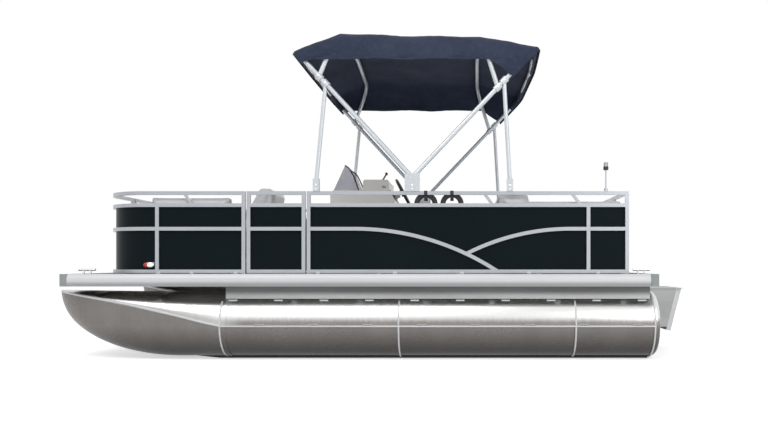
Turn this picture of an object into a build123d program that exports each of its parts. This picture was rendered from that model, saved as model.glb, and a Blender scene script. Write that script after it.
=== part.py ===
"""Pontoon boat: two closed logs carry a decked platform, a fenced cockpit with seats and a helm, and a sun canopy.

Frame: +X towards the bow, +Y to port, +Z up, millimetres. The keels' bottoms lie on z = 0.
"""

import math
import os

from build123d import *

os.makedirs("parts", exist_ok=True)

# Deck platform
deck_front_x = 2763.0
deck_aft_x = -2440.0
deck_half = 1220.0

# Hull
nose_tip_x = 2885.0
log_radius = 290.0
log_inset = 320.0
log_y = deck_half - log_inset
log_aft_x = deck_aft_x - 20.0
log_end_round = 40.0
nose_length = 1507.0
nose_rise = 1080.0
keel_drop = 20.0
keel_width = 50.0
keel_start_x = 1707.0
keel_full_x = 1450.0
ring_width = 24.0
ring_shares = (0.402, 0.804)
ring_proud = 5.0
strip_height = 20.0
strip_proud = 10.0
log_z = keel_drop + log_radius
log_top = log_z + log_radius
nose_ring_x = nose_tip_x - nose_length

# Deck
deck_top = 755.0
board_thick = 22.0
beam_height = 76.0
beam_flange = 46.0
beam_wall = 5.0
beam_end = 241.5
beam_count = 9
beam_pitch = (deck_front_x - deck_aft_x - 2 * beam_end) / (beam_count - 1)
edge_web = 20.0
edge_lip = 50.0
edge_lip_thick = 4.0
edge_foot_thick = 6.0
corner_size = 80.0
riser_half = 186.0
riser_wall = 6.0
riser_aft_x = deck_aft_x + 55.0
seat_gap = 0.3
board_bottom = deck_top - board_thick
beam_bottom = board_bottom - beam_height
edge_top = deck_top + edge_lip_thick
edge_bottom = beam_bottom - edge_foot_thick

# Fence
fence_inset = 100.0
fence_y = deck_half - fence_inset
fence_front_x = deck_front_x - 293.0
fence_stern_x = deck_aft_x + 265.0
corner_radius = 430.0
tube_wide = 32.0
tube_deep = 25.0
panel_thick = 3.0
panel_lap = 6.0
foot_height = 10.0
mid_rail_z = 1155.0
upper_rail_z = 1362.0
top_rail_z = 1468.0
bow_stile_x = 1943.0
aft_stile_x = fence_stern_x + 339.0
side_gate_fore = 1164.0
side_gate_aft = 638.0
bow_gate_half = 366.0
gate_gap = 12.0
standoff_lean = 80.0
standoff_fore_x = 1630.0
standoff_aft_x = (-1000.0, -1770.0)
rail_foot_x = (-1400.0, -700.0, 0.0)
stern_post_y = fence_y / 2
swoosh_start_x = 210.0
swoosh_radius = 2280.0
rise_end_x = -1676.0
rise_radius = 2000.0
fence_bottom = deck_top + foot_height
bottom_rail_z = fence_bottom + tube_wide / 2
rail_heights = (bottom_rail_z, mid_rail_z, upper_rail_z, top_rail_z)
panel_top = upper_rail_z + tube_wide / 2
rail_top = top_rail_z + tube_wide / 2
half_deep = tube_deep / 2
half_wide = tube_wide / 2
panel_face = half_deep + seat_gap

# Gate hinges
hinge_offset = 11.0
hinge_barrel = 8.0
hinge_pin = 4.0
hinge_play = 0.05
hinge_knuckle = 36.0
hinge_split = 2.0
hinge_leaf = 3.0
hinge_heights = (900.0, 1270.0)
latch_low = 1215.0
latch_high = 60.0
latch_long = 24.0
latch_deep = 12.0
latch_knob = 11.0

# Canopy frame
bow_tube = 20.0
foot_x = -292.0
foot_spread = 32.0
foot_z = 1640.0
main_top_x = (772.0, -1420.0)
main_top_z = (2760.0, 2795.0)
second_hinge = (0.76, 0.655)
second_top_x = (345.0, -878.0)
second_top_z = (2945.0, 2918.0)
main_corner = 100.0
second_corner = 230.0
crown_round = 3100.0
bow_crown = 70.0
strut_foot_x = (550.0, -1148.0)
strut_share = 0.705
collar_radius = 30.0
collar_length = 60.0
socket_high = 110.0
socket_long = 54.0
socket_deep = 48.0
foot_long = 130.0
cloth_thick = 6.0
cut_reach = 2 * nose_tip_x
cloth_edge_z = (2618.0, 2635.0, 2635.0, 2505.0)

# Seats
seat_base_high = 350.0
cushion_thick = 100.0
back_thick = 100.0
seat_depth = 560.0
seat_clear = 8.0
seat_soft = 22.0

# Helm
console_front_x = 700.0
console_aft_x = 60.0
console_y = (60.0 - fence_y, 670.0 - fence_y)
console_top = 1640.0
dash_top = 1756.0
wheel_radius = 170.0
wheel_rim = 15.0
wheel_tilt = 28.0
wheel_y = (console_y[0] + console_y[1]) / 2
screen_thick = 6.0
screen_low = (664.0, console_top)
screen_high = (540.0, 1910.0)
screen_aft = (397.0, console_top)
screen_inset = 25.0
seat_post = (-760.0, 500.0 - fence_y)


def block(low, high, mode=Mode.ADD):
    """A box between two corners, in the part that is being built."""
    size = [h - l for l, h in zip(low, high)]
    centre = Vector(*[(l + h) / 2 for l, h in zip(low, high)])
    with Locations(centre):
        Box(*size, mode=mode)


def side_plane(y):
    """A plane at y with +X right and +Z up, which extrudes to starboard."""
    return Plane(origin=(0, y, 0), x_dir=(1, 0, 0), z_dir=(0, -1, 0))


def save(built, name):
    """Names a finished piece and writes its file."""
    built.label = name
    export_step(built, f"parts/{name}.step")


def mirrored(built):
    """The starboard twin of a port piece."""
    with BuildPart() as twin:
        mirror(built, about=Plane.XZ)
    return twin.part


def rod(start, end, radius, mode=Mode.ADD):
    """A round bar between two points."""
    a, b = Vector(*start), Vector(*end)
    with BuildSketch(Plane(origin=a, z_dir=b - a)) as face:
        Circle(radius)
    extrude(face.sketch, amount=(b - a).length, mode=mode)


# Logs: a tube, a nose whose side seam climbs to the tip, seam rings, side strips and a keel
# columns: share of the nose length, then in log radii: half width, seam above the log's middle, top above the log
nose_stations = (
    (0.00, 1.000, 0.000, 0.000),
    (0.10, 1.000, 0.110, 0.000),
    (0.22, 0.997, 0.269, 0.000),
    (0.36, 0.990, 0.441, 0.000),
    (0.50, 0.959, 0.603, 0.003),
    (0.62, 0.903, 0.724, 0.010),
    (0.82, 0.690, 0.890, 0.028),
    (0.94, 0.407, 0.979, 0.041),
    (1.00, 0.083, 1.028, 0.048),
)
nose_tip_floor = log_top - 0.041 * log_radius


def nose_bottom(x):
    """The keel line under the nose: a quarter ellipse up to the tip."""
    reach = max(0.0, (x - (nose_tip_x - nose_rise)) / nose_rise)
    depth = nose_tip_floor - keel_drop
    return nose_tip_floor - depth * math.sqrt(max(0.0, 1 - reach * reach))


with BuildPart() as log_port:
    with BuildSketch(Plane.YZ.offset(log_aft_x)):
        with Locations((log_y, log_z)):
            Circle(log_radius)
    extrude(amount=nose_ring_x - log_aft_x)
    fillet(log_port.edges().sort_by(Axis.X)[0], log_end_round)
    for share, wide, seam_up, top_up in nose_stations:
        station_x = nose_ring_x + share * nose_length
        half_width = wide * log_radius
        seam = log_z + seam_up * log_radius
        top = log_top + top_up * log_radius
        with BuildSketch(Plane.YZ.offset(station_x)):
            with BuildLine():
                EllipticalCenterArc((log_y, seam), half_width, seam - nose_bottom(station_x), 180, arc_size=180)
                EllipticalCenterArc((log_y, seam), half_width, top - seam, 0, arc_size=180)
            make_face()
    loft()
    tube_length = nose_ring_x - log_aft_x
    seam_rings = [nose_ring_x - share * tube_length for share in ring_shares]
    for ring_x in (nose_ring_x - 30, *seam_rings, log_aft_x + log_end_round + ring_width):
        with BuildSketch(Plane.YZ.offset(ring_x - ring_width)):
            with Locations((log_y, log_z)):
                Circle(log_radius + ring_proud)
        extrude(amount=ring_width)
    for flank in (-1, 1):
        outer = log_y + flank * (log_radius + strip_proud)
        inner = log_y + flank * (log_radius - strip_proud)
        block(
            (log_aft_x + log_end_round, min(outer, inner), log_z - strip_height / 2),
            (nose_ring_x - 30, max(outer, inner), log_z + strip_height / 2),
        )
    with BuildSketch(side_plane(log_y)):
        with BuildLine():
            Polyline(
                (log_aft_x + 60, 0),
                (keel_full_x, 0),
                (keel_start_x, keel_drop + 6),
                (keel_start_x, 3 * keel_drop),
                (log_aft_x + 60, 3 * keel_drop),
                close=True,
            )
        make_face()
    extrude(amount=keel_width / 2, both=True)
save(log_port.part, "log_port")
save(mirrored(log_port.part), "log_starboard")

# Risers: an inverted channel along each log, its legs scribed to the tube
with BuildPart() as riser_port:
    riser_front = nose_ring_x - 30 + riser_wall
    block(
        (riser_aft_x, log_y - riser_half, log_z),
        (riser_front, log_y + riser_half, beam_bottom),
    )
    block(
        (riser_aft_x, log_y - riser_half + riser_wall, log_z),
        (riser_front, log_y + riser_half - riser_wall, beam_bottom - riser_wall),
        mode=Mode.SUBTRACT,
    )
    with BuildSketch(Plane.YZ.offset(riser_aft_x)):
        with Locations((log_y, log_z)):
            Circle(log_radius + ring_proud + seat_gap)
    extrude(amount=riser_front - riser_aft_x, mode=Mode.SUBTRACT)
save(riser_port.part, "riser_port")
save(mirrored(riser_port.part), "riser_starboard")

# Cross beams: open channels from edge to edge
beam_half = deck_half - edge_web - 5
beam_first = deck_aft_x + beam_end
with BuildPart() as cross_beams:
    for index in range(beam_count):
        web_x = beam_first + index * beam_pitch
        block((web_x, -beam_half, beam_bottom), (web_x + beam_wall, beam_half, board_bottom))
        for low in (beam_bottom, board_bottom - beam_wall):
            block((web_x, -beam_half, low), (web_x + beam_flange, beam_half, low + beam_wall))
save(cross_beams.part, "cross_beams")

# Deck board, with the corners left to the castings
board_half = deck_half - edge_web
with BuildPart() as deck_board:
    block(
        (deck_aft_x + edge_web, -board_half, board_bottom),
        (deck_front_x - edge_web, board_half, deck_top),
    )
save(deck_board.part, "deck_board")


def edge_profile(reach):
    """Half the edge trim's section: web, top lip and foot, with a groove along the web. reach is the outer face."""
    with BuildLine() as outline:
        Polyline(
            (reach - edge_lip, edge_bottom),
            (reach - 4, edge_bottom),
            (reach, edge_bottom + 8),
            (reach, edge_bottom + 40),
            (reach - 4, edge_bottom + 44),
            (reach - 4, edge_bottom + 50),
            (reach, edge_bottom + 54),
            (reach, edge_top - 10),
            (reach - 8, edge_top),
            (reach - edge_lip, edge_top),
            (reach - edge_lip, deck_top),
            (reach - edge_web, deck_top),
            (reach - edge_web, beam_bottom),
            (reach - edge_lip, beam_bottom),
            close=True,
        )
    make_face(outline.edges())


with BuildPart() as deck_edges:
    with BuildSketch(Plane.YZ.offset(deck_aft_x + corner_size)):
        edge_profile(deck_half)
        mirror(about=Plane.YZ)
    extrude(amount=deck_front_x - deck_aft_x - 2 * corner_size)
    with BuildSketch(side_plane(deck_half - corner_size)):
        edge_profile(deck_front_x)
    extrude(amount=2 * (deck_half - corner_size))
    with BuildSketch(Plane(origin=(0, corner_size - deck_half, 0), x_dir=(-1, 0, 0), z_dir=(0, 1, 0))):
        edge_profile(-deck_aft_x)
    extrude(amount=2 * (deck_half - corner_size))
save(deck_edges.part, "deck_edges")

with BuildPart() as deck_corners:
    for end_x, inward in ((deck_front_x, -1), (deck_aft_x, 1)):
        for side in (-1, 1):
            xs = sorted((end_x, end_x + inward * corner_size))
            ys = sorted((side * deck_half, side * (deck_half - corner_size)))
            block((xs[0], ys[0], edge_bottom), (xs[1], ys[1], edge_top))
    upright = deck_corners.edges().filter_by(Axis.Z)
    fillet([e for e in upright if abs(abs(e.center().Y) - deck_half) < 1 and (
        abs(e.center().X - deck_front_x) < 1 or abs(e.center().X - deck_aft_x) < 1)], 30)
    block(
        (deck_aft_x + edge_web, -board_half, beam_bottom),
        (deck_front_x - edge_web, board_half, deck_top),
        mode=Mode.SUBTRACT,
    )
save(deck_corners.part, "deck_corners")

# Motor pod under the stern, and the bracket that carries the motor plate
pod_front_x = deck_aft_x + 480.0
pod_aft_x = deck_aft_x - 60.0
pod_top = beam_bottom - 51.0
pod_floor = 330.0
pod_top_half = 350.0
pod_floor_half = 180.0
bracket_end_x = pod_aft_x - 385.0
bracket_half = 300.0
gusset_thick = 12.0
cap_thick = 6.0
plate_thick = 45.0
plate_rake = 14.0
plate_half = 300.0
plate_low = 200.0
bolt_hole = 6.75
bolt_upper = 327.0
bolt_lower = 251.0
bolt_drop = 203.0
bolt_first = 70.0
hanger_wall = 10.0

with BuildPart() as motor_pod:
    with BuildSketch(Plane.YZ.offset(pod_aft_x)):
        with BuildLine():
            Polyline(
                (-pod_floor_half, pod_floor),
                (pod_floor_half, pod_floor),
                (pod_top_half, pod_floor + 130),
                (pod_top_half, pod_top),
                (-pod_top_half, pod_top),
                (-pod_top_half, pod_floor + 130),
                close=True,
            )
        make_face()
    extrude(amount=pod_front_x - pod_aft_x)
    chamfer(motor_pod.faces().sort_by(Axis.X)[-1].edges().sort_by(Axis.Z)[0], 120)
    for side in (-1, 1):
        block(
            (deck_aft_x + 60, side * (pod_top_half - 40) - hanger_wall, pod_top),
            (pod_front_x - 20, side * (pod_top_half - 40) + hanger_wall, beam_bottom),
        )
save(motor_pod.part, "motor_pod")

rake = math.radians(plate_rake)
plate_top_x = bracket_end_x + plate_thick / math.cos(rake) + 6
plate_plane = Plane(
    origin=(plate_top_x, 0, pod_top),
    x_dir=(0, -1, 0),
    z_dir=(-math.cos(rake), 0, -math.sin(rake)),
)
plate_long = (pod_top - plate_low) / math.cos(rake)
with BuildPart() as motor_plate:
    with BuildSketch(plate_plane):
        with Locations((0, (plate_thick - plate_long) / 2)):
            Rectangle(2 * plate_half, plate_long + plate_thick)
        with Locations((0, -bolt_first)):
            with Locations((-bolt_upper / 2, 0), (bolt_upper / 2, 0)):
                Circle(bolt_hole, mode=Mode.SUBTRACT)
        with Locations((0, -bolt_first - bolt_drop)):
            with Locations((-bolt_lower / 2, 0), (bolt_lower / 2, 0)):
                Circle(bolt_hole, mode=Mode.SUBTRACT)
    extrude(amount=plate_thick)
    block(
        (bracket_end_x - 100, -plate_half - 1, pod_top),
        (bracket_end_x + 300, plate_half + 1, pod_top + 100),
        mode=Mode.SUBTRACT,
    )
save(motor_plate.part, "motor_plate")

with BuildPart() as motor_bracket:
    for side in (-1, 1):
        with BuildSketch(side_plane(side * (bracket_half - gusset_thick / 2))):
            with BuildLine():
                Polyline(
                    (pod_aft_x, pod_top),
                    (plate_top_x, pod_top),
                    (plate_top_x + math.tan(rake) * (pod_top - plate_low - 30), plate_low + 30),
                    (pod_aft_x - 40, plate_low + 30),
                    (pod_aft_x, pod_floor + 130),
                    close=True,
                )
            make_face()
        extrude(amount=gusset_thick / 2, both=True)
    block(
        (bracket_end_x, -plate_half - 30, pod_top),
        (pod_aft_x, plate_half + 30, pod_top + cap_thick),
    )
save(motor_bracket.part, "motor_bracket")


# Fence: four rails and posts of rectangular tube round the deck, panels on the inboard faces
def bow_run(z_low, z_high, out, inn, gate_y, end_x):
    """A strip from the bow gate round the port corner to end_x, between two offsets from the tube centreline."""
    hub = (fence_front_x - corner_radius, fence_y - corner_radius)
    far = (corner_radius + out) * math.sqrt(0.5)
    near = (corner_radius + inn) * math.sqrt(0.5)
    with BuildLine() as outline:
        Line((fence_front_x + out, gate_y), (fence_front_x + out, hub[1]))
        ThreePointArc((fence_front_x + out, hub[1]), (hub[0] + far, hub[1] + far), (hub[0], fence_y + out))
        Line((hub[0], fence_y + out), (end_x, fence_y + out))
        Line((end_x, fence_y + out), (end_x, fence_y + inn))
        Line((end_x, fence_y + inn), (hub[0], fence_y + inn))
        ThreePointArc((hub[0], fence_y + inn), (hub[0] + near, hub[1] + near), (fence_front_x + inn, hub[1]))
        Line((fence_front_x + inn, hub[1]), (fence_front_x + inn, gate_y))
        Line((fence_front_x + inn, gate_y), (fence_front_x + out, gate_y))
    with BuildSketch(Plane.XY.offset(z_low)) as face:
        make_face(outline.edges())
    extrude(face.sketch, amount=z_high - z_low)


def side_post(x, low, high):
    """An upright of the side fence."""
    block((x - half_wide, fence_y - half_deep, low), (x + half_wide, fence_y + half_deep, high))


def front_post(y, low, high):
    """An upright of the bow fence."""
    block((fence_front_x - half_deep, y - half_wide, low), (fence_front_x + half_deep, y + half_wide, high))


def feet(points):
    """Short blocks that hold the bottom rail off the deck."""
    for x, y in points:
        block((x - half_wide, y - half_deep, deck_top), (x + half_wide, y + half_deep, fence_bottom))


def standoff(x):
    """A leaning bracket between the upper rail and the top rail."""
    low, high = upper_rail_z, top_rail_z
    with BuildLine() as outline:
        Polyline(
            (x - half_wide, low),
            (x + half_wide, low),
            (x + half_wide + standoff_lean, high),
            (x - half_wide + standoff_lean, high),
            close=True,
        )
    with BuildSketch(side_plane(fence_y)) as face:
        make_face(outline.edges())
    extrude(face.sketch, amount=half_deep - 4, both=True)


def curved_rail(centre, radius, start, sweep):
    """A curved tube of the side fence as seen from the side."""
    with BuildLine() as outline:
        outer = CenterArc(centre, radius + half_wide, start, sweep)
        inner = CenterArc(centre, radius - half_wide, start, sweep)
        Line(outer @ 0, inner @ 0)
        Line(outer @ 1, inner @ 1)
    with BuildSketch(side_plane(fence_y)) as face:
        make_face(outline.edges())
    extrude(face.sketch, amount=half_deep, both=True)


def aft_rails(front_x):
    """The side fence aft of front_x: straight rails, with the mid rail sweeping down and up again."""
    end_x = fence_stern_x - half_wide
    for z in (bottom_rail_z, upper_rail_z, top_rail_z):
        block((end_x, fence_y - half_deep, z - half_wide), (front_x, fence_y + half_deep, z + half_wide))
    low, high = mid_rail_z - half_wide, mid_rail_z + half_wide
    block((swoosh_start_x, fence_y - half_deep, low), (front_x, fence_y + half_deep, high))
    block((end_x, fence_y - half_deep, low), (rise_end_x, fence_y + half_deep, high))
    drop = math.degrees(math.acos(1 - (mid_rail_z - bottom_rail_z) / swoosh_radius))
    curved_rail((swoosh_start_x, mid_rail_z - swoosh_radius), swoosh_radius, 90, drop)
    meet_x = (swoosh_start_x + rise_end_x) / 2 - 30
    climb = math.degrees(math.asin((meet_x - rise_end_x) / rise_radius))
    curved_rail((rise_end_x, mid_rail_z - rise_radius), rise_radius, 90, -climb)
    side_post(fence_stern_x, fence_bottom, rail_top)
    side_post(aft_stile_x, fence_bottom, panel_top)
    for x in standoff_aft_x:
        standoff(x)
    feet([(x, fence_y) for x in (fence_stern_x, *rail_foot_x)])


gate_post_y = bow_gate_half + half_wide
fore_post_x = side_gate_fore + gate_gap / 2 + half_wide
aft_post_x = side_gate_aft - gate_gap / 2 - half_wide

with BuildPart() as fence_port_bow:
    for z in rail_heights:
        bow_run(z - half_wide, z + half_wide, half_deep, -half_deep, bow_gate_half, fore_post_x - half_wide)
    front_post(gate_post_y, fence_bottom, rail_top)
    side_post(bow_stile_x, fence_bottom, panel_top)
    side_post(fore_post_x, fence_bottom, rail_top)
    standoff(standoff_fore_x)
    feet(((fence_front_x, gate_post_y), (bow_stile_x, fence_y), (fore_post_x, fence_y)))
save(fence_port_bow.part, "fence_port_bow")

with BuildPart() as fence_port_aft:
    aft_rails(aft_post_x + half_wide)
    side_post(aft_post_x, fence_bottom, rail_top)
    feet(((aft_post_x, fence_y),))
save(fence_port_aft.part, "fence_port_aft")

with BuildPart() as fence_starboard_half:
    for z in rail_heights:
        bow_run(z - half_wide, z + half_wide, half_deep, -half_deep, bow_gate_half, fore_post_x - half_wide)
    aft_rails(fore_post_x - half_wide)
    front_post(gate_post_y, fence_bottom, rail_top)
    side_post(bow_stile_x, fence_bottom, panel_top)
    side_post(fore_post_x, fence_bottom, panel_top)
    standoff(standoff_fore_x)
    feet(((fence_front_x, gate_post_y), (bow_stile_x, fence_y), (fore_post_x, fence_y)))
save(mirrored(fence_starboard_half.part), "fence_starboard")

stern_half = fence_y - half_deep
with BuildPart() as fence_stern:
    low_x, high_x = fence_stern_x - half_deep, fence_stern_x + half_deep
    for z in rail_heights:
        block((low_x, -stern_half, z - half_wide), (high_x, stern_half, z + half_wide))
    for y in (-stern_post_y, 0, stern_post_y):
        block((low_x, y - half_wide, fence_bottom), (high_x, y + half_wide, rail_top))
    feet(((fence_stern_x, -stern_post_y), (fence_stern_x, stern_post_y)))
save(fence_stern.part, "fence_stern")

panel_low = fence_bottom + 4
panel_in = -panel_face - panel_thick
with BuildPart() as panels_port:
    bow_run(panel_low, panel_top - 4, -panel_face, panel_in, gate_post_y + half_wide - panel_lap,
            fore_post_x + half_wide - panel_lap)
    block(
        (fence_stern_x + half_wide, fence_y + panel_in, panel_low),
        (aft_post_x - half_wide + panel_lap, fence_y - panel_face, panel_top - 4),
    )
save(panels_port.part, "panels_port")

with BuildPart() as panels_starboard_half:
    bow_run(panel_low, panel_top - 4, -panel_face, panel_in, gate_post_y + half_wide - panel_lap,
            fence_stern_x + half_wide)
save(mirrored(panels_starboard_half.part), "panels_starboard")

with BuildPart() as panel_stern:
    block(
        (fence_stern_x + panel_face, -stern_half + panel_thick + 1, panel_low),
        (fence_stern_x + panel_face + panel_thick, stern_half - panel_thick - 1, panel_top - 4),
    )
save(panel_stern.part, "panel_stern")


# Gates: built with the hinge axis at the origin, the frame running to -X, then set in place
def gate_parts(length):
    """The frame with its two hinge knuckles, and the panel, of a gate of the given length."""
    near_x = -gate_gap / 2
    far_x = near_x - length
    face_y = hinge_offset
    with BuildPart() as frame:
        for z in rail_heights:
            block((far_x, face_y, z - half_wide), (near_x, face_y + tube_deep, z + half_wide))
        for x in (far_x, near_x - tube_wide):
            block((x, face_y, fence_bottom), (x + tube_wide, face_y + tube_deep, rail_top))
        for z in hinge_heights:
            rod((0, 0, z + hinge_split / 2), (0, 0, z + hinge_knuckle), hinge_barrel)
            block((-28, hinge_barrel - hinge_leaf, z + hinge_split / 2), (0, face_y, z + hinge_knuckle))
            rod((0, 0, z), (0, 0, z + hinge_knuckle), hinge_pin + hinge_play, mode=Mode.SUBTRACT)
        block((far_x, face_y - latch_deep, latch_low), (far_x + latch_long, face_y, latch_low + latch_high))
        rod(
            (far_x + latch_long / 2, face_y, latch_low + latch_high / 2),
            (far_x + latch_long / 2, face_y - latch_deep - 16, latch_low + latch_high / 2),
            latch_knob,
        )
    with BuildPart() as panel:
        block(
            (far_x + tube_wide - panel_lap, face_y - seat_gap - panel_thick, panel_low),
            (near_x - tube_wide + panel_lap, face_y - seat_gap, panel_top - 4),
        )
    return frame.part, panel.part


with BuildPart() as hinge_set:
    for z in hinge_heights:
        rod((0, 0, z - hinge_knuckle), (0, 0, z - hinge_split / 2), hinge_barrel)
        rod((0, 0, z - hinge_knuckle), (0, 0, z + hinge_knuckle - 2), hinge_pin)
        block((0, hinge_barrel - hinge_leaf, z - hinge_knuckle), (28, hinge_offset, z - hinge_split / 2))

side_hinge = Location((side_gate_fore, fence_y - half_deep - hinge_offset, 0))
bow_hinge = Location((fence_front_x - half_deep - hinge_offset, gate_gap / 2 - bow_gate_half, 0), (0, 0, -90))
side_frame, side_panel = gate_parts(side_gate_fore - side_gate_aft - gate_gap)
bow_frame, bow_panel = gate_parts(2 * bow_gate_half - 2 * gate_gap)
with BuildPart() as gate_hinges:
    add(hinge_set.part.moved(side_hinge))
    add(hinge_set.part.moved(bow_hinge))
save(gate_hinges.part, "gate_hinges")
for made, name, place in (
    (side_frame, "side_gate_frame", side_hinge),
    (side_panel, "side_gate_panel", side_hinge),
    (bow_frame, "bow_gate_frame", bow_hinge),
    (bow_panel, "bow_gate_panel", bow_hinge),
):
    with BuildPart() as placed:
        add(made.moved(place))
    save(placed.part, name)

# Bow lounges: one each side, rounded into the fence corner; the starboard one ends in a raised chaise back
lounge_x = (1300.0, fence_front_x - 70.0)
lounge_y = (fence_y - 650.0, fence_y - 30.0)
lounge_round = 380.0
base_inset = 20.0
base_top = deck_top + seat_base_high
cushion_top = base_top + cushion_thick
lounge_back_top = 1440.0
chaise_x = (1345.0, 1790.0)
chaise_top = 1675.0


def lounge_block(inset, low, high, soft):
    """The port bow lounge's plan, shrunk by inset, between two heights."""
    with BuildSketch(Plane.XY.offset(low)) as plan:
        with Locations(((lounge_x[0] + lounge_x[1]) / 2, (lounge_y[0] + lounge_y[1]) / 2)):
            Rectangle(lounge_x[1] - lounge_x[0] - 2 * inset, lounge_y[1] - lounge_y[0] - 2 * inset)
        fillet(plan.vertices().group_by(Axis.X)[-1].sort_by(Axis.Y)[-1], lounge_round - inset)
        fillet(plan.vertices().group_by(Axis.Y)[0], 30)
    with BuildPart() as made:
        extrude(plan.sketch, amount=high - low)
        if soft:
            fillet(made.faces().sort_by(Axis.Z)[-1].edges(), soft)
    return made.part


with BuildPart() as bow_bases:
    add(lounge_block(base_inset, deck_top, base_top, 0))
    mirror(bow_bases.part, about=Plane.XZ)
save(bow_bases.part, "bow_bases")

with BuildPart() as bow_cushions:
    add(lounge_block(0, base_top, cushion_top, seat_soft))
    mirror(bow_cushions.part, about=Plane.XZ)
save(bow_cushions.part, "bow_cushions")

with BuildPart() as bow_backs:
    block(
        (lounge_x[0] + 10, lounge_y[1] - back_thick, cushion_top),
        (lounge_x[1] - lounge_round, lounge_y[1], lounge_back_top),
    )
    block(
        (chaise_x[1] + 10, -lounge_y[1], cushion_top),
        (lounge_x[1] - lounge_round, back_thick - lounge_y[1], lounge_back_top),
    )
    fillet(bow_backs.edges(), seat_soft)
save(bow_backs.part, "bow_backs")

with BuildPart() as chaise_back:
    with BuildSketch(side_plane(-lounge_y[0] - 10)):
        with BuildLine():
            Polyline(
                (chaise_x[0], cushion_top),
                (chaise_x[0] - 20, chaise_top - 30),
                (chaise_x[0] + 10, chaise_top),
                (chaise_x[0] + 120, chaise_top),
                (chaise_x[1] - 120, cushion_top + 110),
                (chaise_x[1], cushion_top),
                close=True,
            )
        make_face()
    extrude(amount=lounge_y[1] - lounge_y[0] - 30)
    fillet(chaise_back.faces().filter_by(Axis.Y).edges(), seat_soft)
save(chaise_back.part, "chaise_back")

# Stern lounge: a bench across the stern and a return along the port side that ends in an arm
bench_x = (fence_stern_x + 35.0, fence_stern_x + 635.0)
bench_y = (35.0 - fence_y, fence_y - 35.0)
return_x = bench_x[1] + 495.0
return_y = fence_y - 620.0
stern_back_top = 1410.0
arm_top = 1470.0
arm_length = 270.0

with BuildPart() as stern_bases:
    block((bench_x[0] + base_inset, bench_y[0] + base_inset, deck_top), (bench_x[1] - base_inset, bench_y[1], base_top))
    block((bench_x[1] - base_inset, return_y + base_inset, deck_top), (return_x - base_inset, bench_y[1], base_top))
save(stern_bases.part, "stern_bases")

with BuildPart() as stern_cushions:
    cuts = (bench_y[0], bench_y[0] / 3, bench_y[1] / 3, bench_y[1])
    for low, high in zip(cuts[:-1], cuts[1:]):
        block((bench_x[0], low, base_top), (bench_x[1] - 2, high - 2, cushion_top))
    block((bench_x[1] + 2, return_y, base_top), (return_x - arm_length - 2, bench_y[1] - 2, cushion_top))
    fillet(stern_cushions.faces().group_by(Axis.Z)[-1].edges(), seat_soft)
save(stern_cushions.part, "stern_cushions")

with BuildPart() as stern_backs:
    for low, high in zip(cuts[:-1], cuts[1:]):
        block((bench_x[0], low, cushion_top), (bench_x[0] + back_thick, high - 2, stern_back_top))
    block(
        (bench_x[0] + back_thick + 2, bench_y[1] - back_thick, cushion_top),
        (return_x - arm_length - 4, bench_y[1] - 2, stern_back_top),
    )
    block((return_x - arm_length, return_y, base_top), (return_x, bench_y[1] - 2, arm_top))
    tops = [solid.faces().sort_by(Axis.Z)[-1] for solid in stern_backs.solids()]
    fillet([edge for top in tops for edge in top.edges()], seat_soft)
save(stern_backs.part, "stern_backs")

# Helm console with a raked dash, screen, wheel and throttle
tilt = math.radians(wheel_tilt)
dash_foot = (0.0, 1535.0)
dash_slope = 118.0
dash_head = (dash_foot[0] + dash_slope * math.tan(tilt), dash_foot[1] + dash_slope)
wheel_axis = Vector(-math.cos(tilt), 0, math.sin(tilt))
wheel_seat = Vector(dash_foot[0] + 30, wheel_y, dash_foot[1] + 30 / math.tan(tilt))
column_length = 62.0
column_radius = 30.0
shaft_radius = 12.0
wheel_reach = 110.0

with BuildPart() as console:
    with BuildSketch(side_plane(console_y[1])):
        with BuildLine():
            Polyline(
                (console_front_x, deck_top),
                (console_aft_x, deck_top),
                (console_aft_x, dash_foot[1] - 230),
                dash_foot,
                dash_head,
                (dash_head[0] + 4, dash_top - 14),
                (dash_head[0] + 18, dash_top),
                (screen_aft[0] - 70, dash_top),
                (screen_aft[0] - 56, dash_top - 14),
                (screen_aft[0] - 48, console_top),
                (console_front_x - 30, console_top),
                (console_front_x, console_top - 60),
                close=True,
            )
        make_face()
    extrude(amount=console_y[1] - console_y[0])
    fillet(console.edges().filter_by(Axis.Z), 25)
    rod(wheel_seat - wheel_axis * 20, wheel_seat + wheel_axis * column_length, column_radius)
    rod(
        wheel_seat - wheel_axis * 4,
        wheel_seat + wheel_axis * (column_length + 10),
        shaft_radius + hinge_play,
        mode=Mode.SUBTRACT,
    )
save(console.part, "console")

wheel_hub = wheel_seat + wheel_axis * wheel_reach
wheel_plane = Plane(origin=wheel_hub, x_dir=(0, 1, 0), z_dir=wheel_axis)
with BuildPart() as steering_wheel:
    rod(wheel_seat, wheel_hub, shaft_radius)
    rod(wheel_hub - wheel_axis * 30, wheel_hub + wheel_axis * 14, 40)
    with Locations(wheel_plane):
        Torus(wheel_radius - wheel_rim, wheel_rim)
    for angle in (90, 210, 330):
        turn = math.radians(angle)
        tip = wheel_plane.from_local_coords((
            (wheel_radius - wheel_rim) * math.cos(turn), (wheel_radius - wheel_rim) * math.sin(turn), 0))
        rod(wheel_hub, tip, 9)
save(steering_wheel.part, "steering_wheel")

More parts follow.
